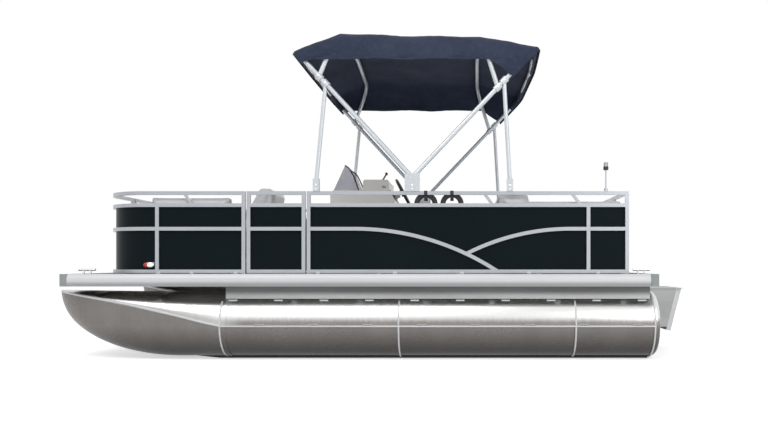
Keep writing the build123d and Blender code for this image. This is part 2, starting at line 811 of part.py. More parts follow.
with BuildPart() as windscreen:
    for side_y in (console_y[1] - screen_inset, console_y[0] + screen_inset + screen_thick):
        with BuildSketch(side_plane(side_y)):
            with BuildLine():
                Polyline(screen_aft, screen_low, screen_high, (screen_high[0] - 40, screen_high[1] - 30), close=True)
            make_face()
        extrude(amount=screen_thick)
    with BuildSketch(side_plane(console_y[1] - screen_inset)):
        with BuildLine():
            Polyline(
                screen_low,
                screen_high,
                (screen_high[0] - screen_thick, screen_high[1]),
                (screen_low[0] - screen_thick, screen_low[1]),
                close=True,
            )
        make_face()
    extrude(amount=console_y[1] - console_y[0] - 2 * screen_inset)
save(windscreen.part, "windscreen")

throttle_x = 150.0
with BuildPart() as throttle:
    block((throttle_x, console_y[0] + 60, dash_top), (throttle_x + 90, console_y[0] + 130, dash_top + 45))
    rod((throttle_x + 45, console_y[0] + 95, dash_top + 30), (throttle_x - 10, console_y[0] + 95, dash_top + 120), 9)
    rod((throttle_x - 10, console_y[0] + 60, dash_top + 120), (throttle_x - 10, console_y[0] + 130, dash_top + 120), 14)
save(throttle.part, "throttle")

# Helm seat on a pedestal
post_radius = 36.0
post_top = 1020.0
foot_disc = 160.0
spindle_radius = 20.0
swivel_gap = 6.0
seat_half = 245.0
helm_back_top = 1480.0
seat_x, seat_y = seat_post
plate_floor = post_top + swivel_gap
plate_roof = plate_floor + 14
helm_cushion_top = plate_roof + 120

with BuildPart() as seat_pedestal:
    rod((seat_x, seat_y, deck_top), (seat_x, seat_y, deck_top + 14), foot_disc)
    rod((seat_x, seat_y, deck_top), (seat_x, seat_y, post_top), post_radius)
    rod((seat_x, seat_y, post_top - 120), (seat_x, seat_y, post_top), spindle_radius + hinge_play, mode=Mode.SUBTRACT)
save(seat_pedestal.part, "seat_pedestal")

with BuildPart() as seat_swivel:
    rod((seat_x, seat_y, post_top - 110), (seat_x, seat_y, plate_floor), spindle_radius)
    block((seat_x - 150, seat_y - 150, plate_floor), (seat_x + 150, seat_y + 150, plate_roof))
save(seat_swivel.part, "seat_swivel")

with BuildPart() as seat_cushion:
    block((seat_x - seat_half + 60, seat_y - seat_half, plate_roof), (seat_x + seat_half, seat_y + seat_half, helm_cushion_top))
    fillet(seat_cushion.edges().filter_by(Axis.Z), 50)
    fillet(seat_cushion.faces().sort_by(Axis.Z)[-1].edges(), seat_soft)
save(seat_cushion.part, "seat_cushion")

with BuildPart() as seat_back:
    with BuildSketch(side_plane(seat_y + seat_half)):
        with BuildLine():
            Polyline(
                (seat_x - seat_half + 60, plate_roof),
                (seat_x - seat_half - 20, plate_roof),
                (seat_x - seat_half - 70, helm_back_top),
                (seat_x - seat_half + 20, helm_back_top),
                (seat_x - seat_half + 60, helm_cushion_top),
                close=True,
            )
        make_face()
    extrude(amount=2 * seat_half)
    fillet(seat_back.faces().sort_by(Axis.Z)[-1].edges(), seat_soft)
save(seat_back.part, "seat_back")

# Canopy frame: two main bows crossing from a shared foot, two short bows hinged on them, struts to the rail
main_foot_x = (foot_x + foot_spread, foot_x - foot_spread)


def leg_point(end, share):
    """A point on a main bow's port leg, at a share of its height. end is 0 for the front bow."""
    x = main_foot_x[end] + share * (main_top_x[end] - main_foot_x[end])
    return Vector(x, fence_y, foot_z + share * (main_top_z[end] - foot_z))


def bow_plane(foot, top):
    """The plane a bow lies in: local x to port, local y from its foot towards its crossbar."""
    rise = Vector(top[0] - foot.X, 0, top[1] - foot.Z).normalized()
    across = Vector(0, 1, 0)
    return Plane(origin=(foot.X, 0, foot.Z), x_dir=across, z_dir=across.cross(rise))


def arch(height, low, offset):
    """The corner points of a bow's outline, offset outwards, from low up and over."""
    half = fence_y + offset
    eave = height - bow_crown + offset
    return ((-half, low), (-half, eave), (0, height + offset), (half, eave), (half, low))


def bow_tube_part(foot, top, corner, start):
    """A bent tube from foot to foot over the crossbar. start moves the foot along the leg."""
    plane = bow_plane(foot, top)
    height = math.hypot(top[0] - foot.X, top[1] - foot.Z)
    with BuildLine(plane) as path:
        FilletPolyline(*arch(height, start, 0), radius=[corner, crown_round, corner])
    begin = plane.from_local_coords((-fence_y, start, 0))
    with BuildSketch(Plane(origin=begin, z_dir=plane.y_dir)) as face:
        Circle(bow_tube)
    with BuildPart() as made:
        sweep(face.sketch, path=path.wires()[0])
    return made.part


# columns: foot, crossbar's x and z at its middle, corner radius
main_bows = [(leg_point(end, 0), (main_top_x[end], main_top_z[end]), main_corner) for end in (0, 1)]
second_bows = [
    (leg_point(end, second_hinge[end]), (second_top_x[end], second_top_z[end]), second_corner) for end in (0, 1)
]

for end, name in ((0, "bow_front"), (1, "bow_rear")):
    with BuildPart() as main_bow:
        add(bow_tube_part(*main_bows[end], -30))
        block((-cut_reach, -cut_reach, 0), (cut_reach, cut_reach, foot_z), mode=Mode.SUBTRACT)
    save(main_bow.part, name)
    with BuildPart() as second_bow:
        add(bow_tube_part(*second_bows[end], 0))
        for side in (-1, 1):
            low, high = leg_point(end, second_hinge[end] - 0.08), leg_point(end, second_hinge[end] + 0.08)
            rod((low.X, side * low.Y, low.Z), (high.X, side * high.Y, high.Z), collar_radius + seat_gap, mode=Mode.SUBTRACT)
    save(second_bow.part, name + "_short")

with BuildPart() as bow_collars:
    for end in (0, 1):
        leg = leg_point(end, 1) - leg_point(end, 0)
        half_share = collar_length / 2 / leg.length
        for share in (strut_share, second_hinge[end]):
            for side in (-1, 1):
                low, high = leg_point(end, share - half_share), leg_point(end, share + half_share)
                ends = [(p.X, side * p.Y, p.Z) for p in (low, high)]
                rod(*ends, collar_radius)
                rod(*ends, bow_tube + seat_gap, mode=Mode.SUBTRACT)
save(bow_collars.part, "bow_collars")

socket_top = rail_top + socket_high
with BuildPart() as bow_sockets:
    for x in strut_foot_x:
        for side in (-1, 1):
            block(
                (x - socket_long / 2, side * fence_y - socket_deep / 2, rail_top),
                (x + socket_long / 2, side * fence_y + socket_deep / 2, socket_top),
            )
    for side in (-1, 1):
        block(
            (foot_x - foot_long / 2, side * fence_y - socket_deep / 2, rail_top),
            (foot_x + foot_long / 2, side * fence_y + socket_deep / 2, foot_z),
        )
save(bow_sockets.part, "bow_sockets")

with BuildPart() as struts:
    for end, x in enumerate(strut_foot_x):
        head = leg_point(end, strut_share)
        low, high = leg_point(end, strut_share - 0.08), leg_point(end, strut_share + 0.08)
        for side in (-1, 1):
            rod((x, side * fence_y, socket_top - 20), (head.X, side * fence_y, head.Z), bow_tube - 2)
            rod((low.X, side * low.Y, low.Z), (high.X, side * high.Y, high.Z), collar_radius + seat_gap, mode=Mode.SUBTRACT)
    block((-cut_reach, -cut_reach, 0), (cut_reach, cut_reach, socket_top), mode=Mode.SUBTRACT)
save(struts.part, "struts")

# Canopy cloth: four arch bands in the bows' own planes, joined straight between them
cloth_order = (main_bows[0], second_bows[0], second_bows[1], main_bows[1])


def cloth_reach(index):
    """How far outside a bow's centreline the cloth lies so that it just clears the tube beside the bow too."""
    foot, top, corner = cloth_order[index]
    rise = Vector(top[0] - foot.X, top[1] - foot.Z).normalized()
    lifts = []
    for beside in (index - 1, index + 1):
        if 0 <= beside < len(cloth_order):
            other = cloth_order[beside][1]
            span = Vector(other[0] - top[0], other[1] - top[1]).normalized()
            lifts.append(abs(rise.X * span.Y - rise.Y * span.X))
    return (bow_tube + seat_gap) / min(lifts)


cloth_faces = []
for index, ((foot, top, corner), edge_z) in enumerate(zip(cloth_order, cloth_edge_z)):
    cloth_inner = cloth_reach(index)
    plane = bow_plane(foot, top)
    height = math.hypot(top[0] - foot.X, top[1] - foot.Z)
    low = (edge_z - foot.Z) * height / (top[1] - foot.Z)
    with BuildSketch(plane) as band:
        with BuildLine() as outline:
            outer_points = arch(height, low, cloth_inner + cloth_thick)
            inner_points = arch(height, low, cloth_inner)
            outer_round = corner + cloth_inner + cloth_thick
            inner_round = corner + cloth_inner
            FilletPolyline(*outer_points, radius=[outer_round, crown_round, outer_round])
            FilletPolyline(*inner_points, radius=[inner_round, crown_round, inner_round])
            Line(outer_points[0], inner_points[0])
            Line(outer_points[-1], inner_points[-1])
        make_face()
    cloth_faces.append(band.sketch)
with BuildPart() as canopy:
    loft(cloth_faces, ruled=True)
save(canopy.part, "canopy")

# Small fittings: deck cleats, side lights, a stern light on the rail, rings hung inside the port rail
cleat_y = fence_y - 40.0
cleat_places = ((fence_front_x + 110.0, cleat_y), (fence_stern_x - 135.0, cleat_y))
with BuildPart() as cleats:
    for x, y in cleat_places:
        for side in (-1, 1):
            for step in (-30, 30):
                rod((x + step, side * y, deck_top), (x + step, side * y, deck_top + 40), 9)
            rod((x - 75, side * y, deck_top + 40), (x + 75, side * y, deck_top + 40), 10)
save(cleats.part, "cleats")

lamp_x = bow_stile_x + 62.0
lamp_z = 845.0
lamp_high = 30.0
with BuildPart() as side_lights:
    for side in (-1, 1):
        face_y = fence_y - panel_face
        block(
            (lamp_x - 40, side * (face_y + 17) - 17, lamp_z - lamp_high / 2),
            (lamp_x + 30, side * (face_y + 17) + 17, lamp_z + lamp_high / 2),
        )
    fillet(side_lights.faces().filter_by(Axis.X).edges().filter_by(Axis.Z), 12)
save(side_lights.part, "side_lights")

light_x = fence_stern_x + 185.0
light_top = 1735.0
with BuildPart() as stern_light:
    rod((light_x, fence_y, rail_top), (light_x, fence_y, rail_top + 25), 16)
    rod((light_x, fence_y, rail_top), (light_x, fence_y, light_top - 60), 6)
    rod((light_x, fence_y, light_top - 62), (light_x, fence_y, light_top - 36), 20)
    rod((light_x, fence_y, light_top - 36), (light_x, fence_y, light_top), 17)
save(stern_light.part, "stern_light")

ring_places = (return_x + 635.0, return_x + 405.0)
ring_radius = 80.0
ring_tube = 23.0
ring_y = fence_y - half_deep - ring_tube - 4
ring_z = top_rail_z - 92
with BuildPart() as rail_rings:
    for x in ring_places:
        with Locations(Plane(origin=(x, ring_y, ring_z), x_dir=(1, 0, 0), z_dir=(0, -1, 0))):
            Torus(ring_radius, ring_tube)
save(rail_rings.part, "rail_rings")
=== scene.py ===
import math

import bpy
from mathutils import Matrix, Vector


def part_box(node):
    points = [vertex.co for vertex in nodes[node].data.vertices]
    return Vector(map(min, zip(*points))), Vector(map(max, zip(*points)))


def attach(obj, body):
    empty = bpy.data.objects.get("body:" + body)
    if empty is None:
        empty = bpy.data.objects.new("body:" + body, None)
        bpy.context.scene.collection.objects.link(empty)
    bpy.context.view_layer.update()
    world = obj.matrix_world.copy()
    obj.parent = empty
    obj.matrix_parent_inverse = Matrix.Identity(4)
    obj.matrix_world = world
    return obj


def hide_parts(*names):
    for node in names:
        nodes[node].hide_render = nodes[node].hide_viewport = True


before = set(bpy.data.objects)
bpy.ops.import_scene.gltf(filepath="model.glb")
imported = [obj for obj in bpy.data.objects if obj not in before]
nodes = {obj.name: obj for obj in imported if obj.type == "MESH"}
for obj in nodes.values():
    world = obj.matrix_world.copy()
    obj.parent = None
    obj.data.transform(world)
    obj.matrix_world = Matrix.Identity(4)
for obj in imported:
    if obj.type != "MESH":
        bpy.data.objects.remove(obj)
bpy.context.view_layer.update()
bpy.ops.object.select_all(action="DESELECT")
print("frame loaded:", len(nodes), "nodes")


# small helpers for node trees: a socket takes a link or a plain value

def addNode(tree, kind, **settings):
    made = tree.nodes.new(kind)
    for key, value in settings.items():
        setattr(made, key, value)
    return made


def plug(tree, node, values):
    for name, value in values.items():
        if isinstance(value, bpy.types.NodeSocket):
            tree.links.new(value, node.inputs[name])
        else:
            node.inputs[name].default_value = value


def addMath(tree, operation, *values):
    made = addNode(tree, "ShaderNodeMath", operation=operation)
    plug(tree, made, dict(enumerate(values)))
    return made.outputs[0]


def addRange(tree, value, source=(0.0, 1.0), target=(0.0, 1.0), smooth=False):
    made = addNode(tree, "ShaderNodeMapRange", interpolation_type="SMOOTHSTEP" if smooth else "LINEAR")
    plug(tree, made, {"Value": value, "From Min": source[0], "From Max": source[1],
                      "To Min": target[0], "To Max": target[1]})
    return made.outputs["Result"]


def mixColors(tree, factor, first, second, blend="MIX"):
    made = addNode(tree, "ShaderNodeMix", data_type="RGBA", blend_type=blend)
    plug(tree, made, {"Factor": factor, "A": first, "B": second})
    return made.outputs["Result"]


def findNode(tree, kind):
    return next(n for n in tree.nodes if n.type == kind)


def objectAxes(tree):
    split = addNode(tree, "ShaderNodeSeparateXYZ")
    plug(tree, split, {"Vector": findNode(tree, "TEX_COORD").outputs["Object"]})
    return split.outputs


def newGroup(name, inputs, outputs):
    group = bpy.data.node_groups.new(name, "ShaderNodeTree")
    for label, kind, default in inputs:
        socket = group.interface.new_socket(label, in_out="INPUT", socket_type=kind)
        socket.default_value = default
    for label, kind in outputs:
        group.interface.new_socket(label, in_out="OUTPUT", socket_type=kind)
    return group, group.nodes.new("NodeGroupInput").outputs, group.nodes.new("NodeGroupOutput")


# shared node groups: grain for noise in colour, roughness and height; weave for cloth
grainBlend = dict(fineDetail=6, fineRough=0.6, fineShare=0.35, patchDetail=3, patchShare=0.65,
                  contrast=(0.3, 0.7))
threadWander = 0.4


def makeGrainGroup():
    group, given, out = newGroup("surfaceGrain", [
        ("Vector", "NodeSocketVector", (0, 0, 0)),
        ("Scale", "NodeSocketFloat", 40.0),
        ("Patch Scale", "NodeSocketFloat", 3.0),
        ("Light", "NodeSocketColor", (0.8, 0.8, 0.8, 1)),
        ("Dark", "NodeSocketColor", (0.6, 0.6, 0.6, 1)),
        ("Rough Low", "NodeSocketFloat", 0.3),
        ("Rough High", "NodeSocketFloat", 0.5),
    ], [("Color", "NodeSocketColor"), ("Roughness", "NodeSocketFloat"), ("Height", "NodeSocketFloat")])
    fine = addNode(group, "ShaderNodeTexNoise")
    plug(group, fine, {"Vector": given["Vector"], "Scale": given["Scale"],
                       "Detail": grainBlend["fineDetail"], "Roughness": grainBlend["fineRough"]})
    patch = addNode(group, "ShaderNodeTexNoise")
    plug(group, patch, {"Vector": given["Vector"], "Scale": given["Patch Scale"],
                        "Detail": grainBlend["patchDetail"]})
    part = addMath(group, "MULTIPLY", patch.outputs["Fac"], grainBlend["patchShare"])
    both = addMath(group, "MULTIPLY_ADD", fine.outputs["Fac"], grainBlend["fineShare"], part)
    spread = addRange(group, both, grainBlend["contrast"])
    plug(group, out, {
        "Color": mixColors(group, spread, given["Dark"], given["Light"]),
        "Roughness": addRange(group, spread, target=(given["Rough High"], given["Rough Low"])),
        "Height": fine.outputs["Fac"],
    })
    return group


def makeWeaveGroup():
    group, given, out = newGroup("plainWeave", [
        ("Vector", "NodeSocketVector", (0, 0, 0)),
        ("Threads", "NodeSocketFloat", 300.0),
    ], [("Height", "NodeSocketFloat"), ("Mask", "NodeSocketFloat")])
    waves = []
    for axis in ("X", "Y"):
        wave = addNode(group, "ShaderNodeTexWave", wave_type="BANDS", bands_direction=axis)
        plug(group, wave, {"Vector": given["Vector"], "Scale": given["Threads"],
                           "Distortion": threadWander})
        waves.append(wave.outputs["Fac"])
    plug(group, out, {"Height": addMath(group, "MAXIMUM", *waves),
                      "Mask": addMath(group, "MULTIPLY", *waves)})
    return group


grainGroup = makeGrainGroup()
weaveGroup = makeWeaveGroup()

# one dictionary per finish: colours, roughness range, grain sizes in marks per metre and, where the
# grain runs one way, its stretch per axis
finishes = {
    "polishedLog": dict(light=(0.80, 0.80, 0.785), dark=(0.69, 0.69, 0.675), rough=(0.20, 0.32),
                        scale=30, patch=2.2, stretch=(0.4, 3, 3), bump=0.02, metallic=1.0),
    "dullChannel": dict(light=(0.35, 0.36, 0.36), dark=(0.27, 0.275, 0.27), rough=(0.36, 0.5),
                        scale=60, patch=4, stretch=(0.3, 2, 2), bump=0.03, metallic=1.0),
    "satinRail": dict(light=(0.47, 0.495, 0.53), dark=(0.40, 0.42, 0.45), rough=(0.28, 0.42),
                      scale=160, patch=5, bump=0.04, metallic=0.9),
    "whiteTube": dict(light=(0.64, 0.68, 0.715), dark=(0.57, 0.605, 0.64), rough=(0.25, 0.4),
                      scale=120, patch=6, bump=0.006, metallic=0.35),
    "brightEdge": dict(light=(0.70, 0.71, 0.725), dark=(0.64, 0.65, 0.66), rough=(0.36, 0.48),
                       scale=70, patch=3, stretch=(0.3, 2, 2), bump=0.006, metallic=0.12, specular=0.25),
    "cornerCasting": dict(light=(0.34, 0.37, 0.35), dark=(0.25, 0.28, 0.27), rough=(0.45, 0.6),
                          scale=220, patch=8, bump=0.15),
    "panelGloss": dict(light=(0.0046, 0.0098, 0.0125), dark=(0.0030, 0.0066, 0.0088), rough=(0.30, 0.40),
                       scale=45, patch=1.5, bump=0.01, specular=0.07),
    "gelCoat": dict(light=(0.86, 0.85, 0.82), dark=(0.79, 0.78, 0.75), rough=(0.25, 0.38),
                    scale=120, patch=3, bump=0.03, coat=0.3),
    "mouldedBase": dict(light=(0.60, 0.60, 0.59), dark=(0.50, 0.50, 0.49), rough=(0.5, 0.65),
                        scale=420, patch=5, bump=0.25),
    "blackPlastic": dict(light=(0.022, 0.022, 0.024), dark=(0.012, 0.012, 0.013), rough=(0.38, 0.55),
                         scale=500, patch=9, bump=0.2),
    "ringRubber": dict(light=(0.018, 0.018, 0.018), dark=(0.009, 0.009, 0.009), rough=(0.5, 0.7),
                       scale=300, patch=14, bump=0.2),
    "fittingChrome": dict(light=(0.88, 0.88, 0.88), dark=(0.78, 0.78, 0.79), rough=(0.06, 0.16),
                          scale=80, patch=10, bump=0.01, metallic=1.0),
    "motorPlate": dict(light=(0.66, 0.67, 0.67), dark=(0.55, 0.56, 0.56), rough=(0.4, 0.55),
                       scale=180, patch=6, bump=0.1, metallic=0.3),
}
# painted shade by height: the risers darker at the top, under the deck's overhang, and the deck's facing
# darker along its lower part
finishes["riserChannel"] = dict(finishes["dullChannel"], light=(0.43, 0.44, 0.44), dark=(0.34, 0.345, 0.34))
finishes["edgeFacing"] = dict(finishes["brightEdge"])
paintedHeightShade = {
    "riserChannel": dict(z=(0.557, 0.611), shade=(1.0, 0.34)),
    "edgeFacing": dict(z=(0.668, 0.706), shade=(0.62, 1.0)),
}
coatRoughness = 0.12


def startMaterial(name):
    material = bpy.data.materials.new(name)
    material.use_nodes = True
    tree = material.node_tree
    coords = addNode(tree, "ShaderNodeTexCoord")
    mapping = addNode(tree, "ShaderNodeMapping")
    plug(tree, mapping, {"Vector": coords.outputs["Object"]})
    return material, tree, tree.nodes["Principled BSDF"], mapping


def addGrain(tree, mapping, values):
    grain = addNode(tree, "ShaderNodeGroup", node_tree=grainGroup)
    mapping.inputs["Scale"].default_value = values.get("stretch", (1, 1, 1))
    low, high = values["rough"]
    plug(tree, grain, {
        "Vector": mapping.outputs["Vector"], "Scale": values["scale"], "Patch Scale": values["patch"],
        "Light": (*values["light"], 1), "Dark": (*values["dark"], 1), "Rough Low": low, "Rough High": high,
    })
    return grain.outputs


def addBump(tree, height, shader, strength, distance=0.001):
    bump = addNode(tree, "ShaderNodeBump")
    plug(tree, bump, {"Strength": strength, "Distance": distance, "Height": height})
    plug(tree, shader, {"Normal": bump.outputs["Normal"]})


def grainMaterial(name):
    values = finishes[name]
    material, tree, shader, mapping = startMaterial(name)
    grain = addGrain(tree, mapping, values)
    addBump(tree, grain["Height"], shader, values["bump"])
    plug(tree, shader, {
        "Base Color": grain["Color"], "Roughness": grain["Roughness"],
        "Metallic": values.get("metallic", 0.0), "Specular IOR Level": values.get("specular", 0.5),
        "Coat Weight": values.get("coat", 0.0), "Coat Roughness": coatRoughness,
    })
    return material


# multiplies the base colour by the painted shade for its height
def paintShadeByHeight(name):
    values = paintedHeightShade[name]
    tree = materials[name].node_tree
    level = addRange(tree, objectAxes(tree)["Z"], values["z"], values["shade"], smooth=True)
    color = mixColors(tree, 1.0, findNode(tree, "GROUP").outputs["Color"], level, "MULTIPLY")
    plug(tree, tree.nodes["Principled BSDF"], {"Base Color": color})


materials = {name: grainMaterial(name) for name in finishes}
for name in paintedHeightShade:
    paintShadeByHeight(name)

# below the old waterline the logs turn dull and warm, with run marks under it: partly a real stain, partly
# painted reflection of the dark ground under the boat
logStainAndShade = dict(light=(0.226, 0.209, 0.197), dark=(0.168, 0.155, 0.146), rough=(0.24, 0.40), scale=18,
                patch=1.6, stretch=(2.5, 2.5, 0.35), metallic=0.45, waterline=0.319, fade=0.014, wobble=0.02,
                noseStart=1.378, noseEnd=2.885, rise=0.29, slope=1.27, ease=-0.245,
                noseBand=0.42, sideBand=0.86, bandFoot=0.340, bandTop=0.402, bandSpan=0.20,
                keelShade=0.08, keelZ=0.05, shadeTop=0.30)


def paintLogStainAndShade():
    tree = materials["polishedLog"].node_tree
    bright = findNode(tree, "GROUP").outputs["Color"]
    axes = objectAxes(tree)
    mapping = addNode(tree, "ShaderNodeMapping")
    plug(tree, mapping, {"Vector": findNode(tree, "TEX_COORD").outputs["Object"]})
    stainAndShade = addGrain(tree, mapping, logStainAndShade)
    # the line climbs with the seam of the nose
    noseStart = logStainAndShade["noseStart"]
    share = addRange(tree, axes["X"], (noseStart, logStainAndShade["noseEnd"]))
    curve = addMath(tree, "MULTIPLY_ADD", share, logStainAndShade["ease"], logStainAndShade["slope"])
    climb = addMath(tree, "MULTIPLY", curve, share)
    drop = addMath(tree, "MULTIPLY_ADD", climb, -logStainAndShade["rise"], axes["Z"])
    height = addMath(tree, "MULTIPLY_ADD", stainAndShade["Height"], logStainAndShade["wobble"], drop)
    line, fade = logStainAndShade["waterline"], logStainAndShade["fade"]
    level = addRange(tree, height, (line - fade, line + fade), smooth=True)
    # a fainter darker band fades out above the line, stronger along the straight log than on the nose: partly
    # a haze of the stain, partly painted reflection of the dark surroundings near the horizon
    least = addRange(tree, axes["X"], (noseStart - logStainAndShade["bandSpan"], noseStart),
                     (1 - logStainAndShade["sideBand"], 1 - logStainAndShade["noseBand"]))
    hazeAndReflection = addRange(tree, height, (logStainAndShade["bandFoot"], logStainAndShade["bandTop"]), (least, 1.0), smooth=True)
    brightShare = addMath(tree, "MULTIPLY", level, hazeAndReflection)
    # painted shade: darker again towards the keel, where the log faces the shaded ground under the boat
    paintedKeelShade = addRange(tree, axes["Z"], (logStainAndShade["keelZ"], logStainAndShade["shadeTop"]),
                    (logStainAndShade["keelShade"], 1.0))
    shadedStain = mixColors(tree, 1.0, stainAndShade["Color"], paintedKeelShade, "MULTIPLY")
    plug(tree, tree.nodes["Principled BSDF"], {
        "Base Color": mixColors(tree, brightShare, shadedStain, bright),
        "Metallic": addRange(tree, level, target=(logStainAndShade["metallic"], 1.0)),
    })


paintLogStainAndShade()

# vinyl, cloth and clear plastics
vinylLook = dict(rough=(0.42, 0.55), scale=260, patch=5, pebble=420, bump=0.35, bumpDepth=0.0015)
vinylColors = {
    "paleVinyl": dict(light=(0.70, 0.70, 0.71), dark=(0.60, 0.60, 0.61)),
    "greyVinyl": dict(light=(0.42, 0.42, 0.44), dark=(0.34, 0.34, 0.36)),
}
clothWeave = dict(shade=0.35, bump=0.3, sheenRough=0.4)
clothLook = {
    "deckWeave": dict(light=(0.36, 0.34, 0.31), dark=(0.24, 0.23, 0.21), rough=(0.7, 0.85), scale=90,
                      patch=4, threads=55, specular=0.2, sheen=0.0),
    "navyCanvas": dict(light=(0.062, 0.077, 0.128), dark=(0.037, 0.048, 0.084), rough=(0.72, 0.86), scale=24,
                       patch=3, threads=190, specular=0.08, sheen=0.03),
}
clearGrain = dict(scale=60, patch=6, darker=0.9, roughSpan=0.05, bend=1.49)
clearLook = {
    "tintedScreen": dict(color=(0.80, 0.80, 0.86), rough=0.05, transmission=0.6),
    "redLens": dict(color=(0.75, 0.04, 0.02), rough=0.08, transmission=0.3),
    "greenLens": dict(color=(0.02, 0.45, 0.12), rough=0.08, transmission=0.3),
    "clearLens": dict(color=(0.92, 0.93, 0.93), rough=0.06, transmission=0.8),
}


def vinylMaterial(name):
    material, tree, shader, mapping = startMaterial(name)
    grain = addGrain(tree, mapping, dict(vinylLook, **vinylColors[name]))
    pebble = addNode(tree, "ShaderNodeTexVoronoi", feature="DISTANCE_TO_EDGE")
    plug(tree, pebble, {"Scale": vinylLook["pebble"], "Vector": mapping.outputs["Vector"]})
    plug(tree, shader, {"Base Color": grain["Color"], "Roughness": grain["Roughness"]})
    addBump(tree, pebble.outputs["Distance"], shader, vinylLook["bump"], vinylLook["bumpDepth"])
    return material


def clothMaterial(name):
    look = clothLook[name]
    material, tree, shader, mapping = startMaterial(name)
    grain = addGrain(tree, mapping, look)
    weave = addNode(tree, "ShaderNodeGroup", node_tree=weaveGroup)
    plug(tree, weave, {"Vector": mapping.outputs["Vector"], "Threads": look["threads"]})
    color = mixColors(tree, clothWeave["shade"], grain["Color"], weave.outputs["Mask"], "MULTIPLY")
    addBump(tree, weave.outputs["Height"], shader, clothWeave["bump"])
    plug(tree, shader, {
        "Base Color": color, "Roughness": grain["Roughness"], "Specular IOR Level": look["specular"],
        "Sheen Weight": look["sheen"], "Sheen Roughness": clothWeave["sheenRough"],
    })
    return material


def clearMaterial(name):
    look = clearLook[name]
    material, tree, shader, mapping = startMaterial(name)
    dark = tuple(c * clearGrain["darker"] for c in look["color"])
    rough = (look["rough"], look["rough"] + clearGrain["roughSpan"])
    grain = addGrain(tree, mapping, dict(clearGrain, light=look["color"], dark=dark, rough=rough))
    plug(tree, shader, {
        "Base Color": grain["Color"], "Roughness": grain["Roughness"],
        "Transmission Weight": look["transmission"], "IOR": clearGrain["bend"],
    })
    return material


for maker, table in ((vinylMaterial, vinylColors), (clothMaterial, clothLook), (clearMaterial, clearLook)):
    materials.update({name: maker(name) for name in table})
print("finishes made:", len(materials))

nodeFinish = {
    "polishedLog": ("log_port", "log_starboard"),
    "dullChannel": ("cross_beams", "motor_bracket", "motor_pod"),
    "riserChannel": ("riser_port", "riser_starboard"),
    "satinRail": ("fence_port_bow", "fence_port_aft", "fence_starboard", "fence_stern", "side_gate_frame",
                  "bow_gate_frame", "gate_hinges", "seat_pedestal", "seat_swivel", "stern_light"),
    "whiteTube": ("bow_front", "bow_rear", "bow_front_short", "bow_rear_short", "struts", "bow_collars",
                  "bow_sockets"),
    "edgeFacing": ("deck_edges",),
    "cornerCasting": ("deck_corners",),
    "panelGloss": ("panels_port", "panels_starboard", "panel_stern", "side_gate_panel", "bow_gate_panel"),
    "gelCoat": ("console",),
    "mouldedBase": ("bow_bases", "stern_bases"),
    "blackPlastic": ("steering_wheel", "throttle"),
    "ringRubber": ("rail_rings",),
    "fittingChrome": ("cleats", "side_lights"),
    "motorPlate": ("motor_plate",),
    "paleVinyl": ("bow_cushions", "bow_backs", "chaise_back", "stern_cushions", "stern_backs", "seat_cushion",
                  "seat_back"),
    "deckWeave": ("deck_board",),
    "navyCanvas": ("canopy",),
    "tintedScreen": ("windscreen",),
}


def paint(obj, finish):
    obj.data.materials.clear()
    obj.data.materials.append(materials[finish])


for finish, members in nodeFinish.items():
    for member in members:
        paint(nodes[member], finish)
unpainted = [n for n in nodes if not any(n in members for members in nodeFinish.values())]
print("nodes without a finish:", unpainted)


# small helpers for modelling with operators

def deselect():
    if bpy.context.object and bpy.context.object.mode != "OBJECT":
        bpy.ops.object.mode_set(mode="OBJECT")
    bpy.ops.object.select_all(action="DESELECT")


def pick(obj):
    deselect()
    obj.select_set(True)
    bpy.context.view_layer.objects.active = obj


def settle(obj):
    pick(obj)
    bpy.ops.object.transform_apply(location=True, rotation=True, scale=True)
    return obj


def applyAll(obj):
    pick(obj)
    for name in [m.name for m in obj.modifiers]:
        bpy.ops.object.modifier_apply(modifier=name)
    return obj


def editAll(operator, **settings):
    bpy.ops.object.mode_set(mode="EDIT")
    bpy.ops.mesh.select_all(action="SELECT")
    operator(**settings)
    bpy.ops.object.mode_set(mode="OBJECT")


def addBlock(low, high, bevel=0.002):
    deselect()
    low, high = Vector(low), Vector(high)
    bpy.ops.mesh.primitive_cube_add(size=1, location=(low + high) / 2)
    obj = bpy.context.active_object
    obj.scale = high - low
    settle(obj)
    if bevel:
        editAll(bpy.ops.mesh.bevel, offset=bevel, segments=2, affect="EDGES")
    return obj


def addRod(start, end, radius, sides, bevel):
    deselect()
    start, end = Vector(start), Vector(end)
    along = end - start
    bpy.ops.mesh.primitive_cylinder_add(vertices=sides, radius=radius, depth=along.length,
                                        location=(start + end) / 2,
                                        rotation=along.to_track_quat("Z", "Y").to_euler())
    obj = settle(bpy.context.active_object)
    edge = obj.modifiers.new("edge", "BEVEL")
    edge.width = bevel
    edge.segments = 2
    edge.limit_method = "ANGLE"
    return applyAll(obj)


def addTube(points, radius, cyclic=False, resolution=3):
    deselect()
    bpy.ops.curve.primitive_bezier_curve_add()
    obj = bpy.context.active_object
    obj.matrix_world.identity()
    curve = obj.data
    curve.splines.clear()
    spline = curve.splines.new("POLY")
    spline.points.add(len(points) - 1)
    for point, place in zip(spline.points, points):
        point.co = (*place, 1)
    spline.use_cyclic_u = cyclic
    curve.bevel_depth = radius
    curve.bevel_resolution = resolution
    curve.use_fill_caps = True
    bpy.ops.object.convert(target="MESH")
    return settle(bpy.context.active_object)


def joinPieces(pieces, name):
    deselect()
    for piece in pieces:
        piece.select_set(True)
    bpy.context.view_layer.objects.active = pieces[0]
    if len(pieces) > 1:
        bpy.ops.object.join()
    obj = bpy.context.active_object
    obj.name = name
    obj.data.name = name
    return obj


def finishPiece(obj, finish, body="hull", angle=35):
    pick(obj)
    bpy.ops.object.shade_smooth_by_angle(angle=math.radians(angle))
    paint(obj, finish)
    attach(obj, body)
    return obj


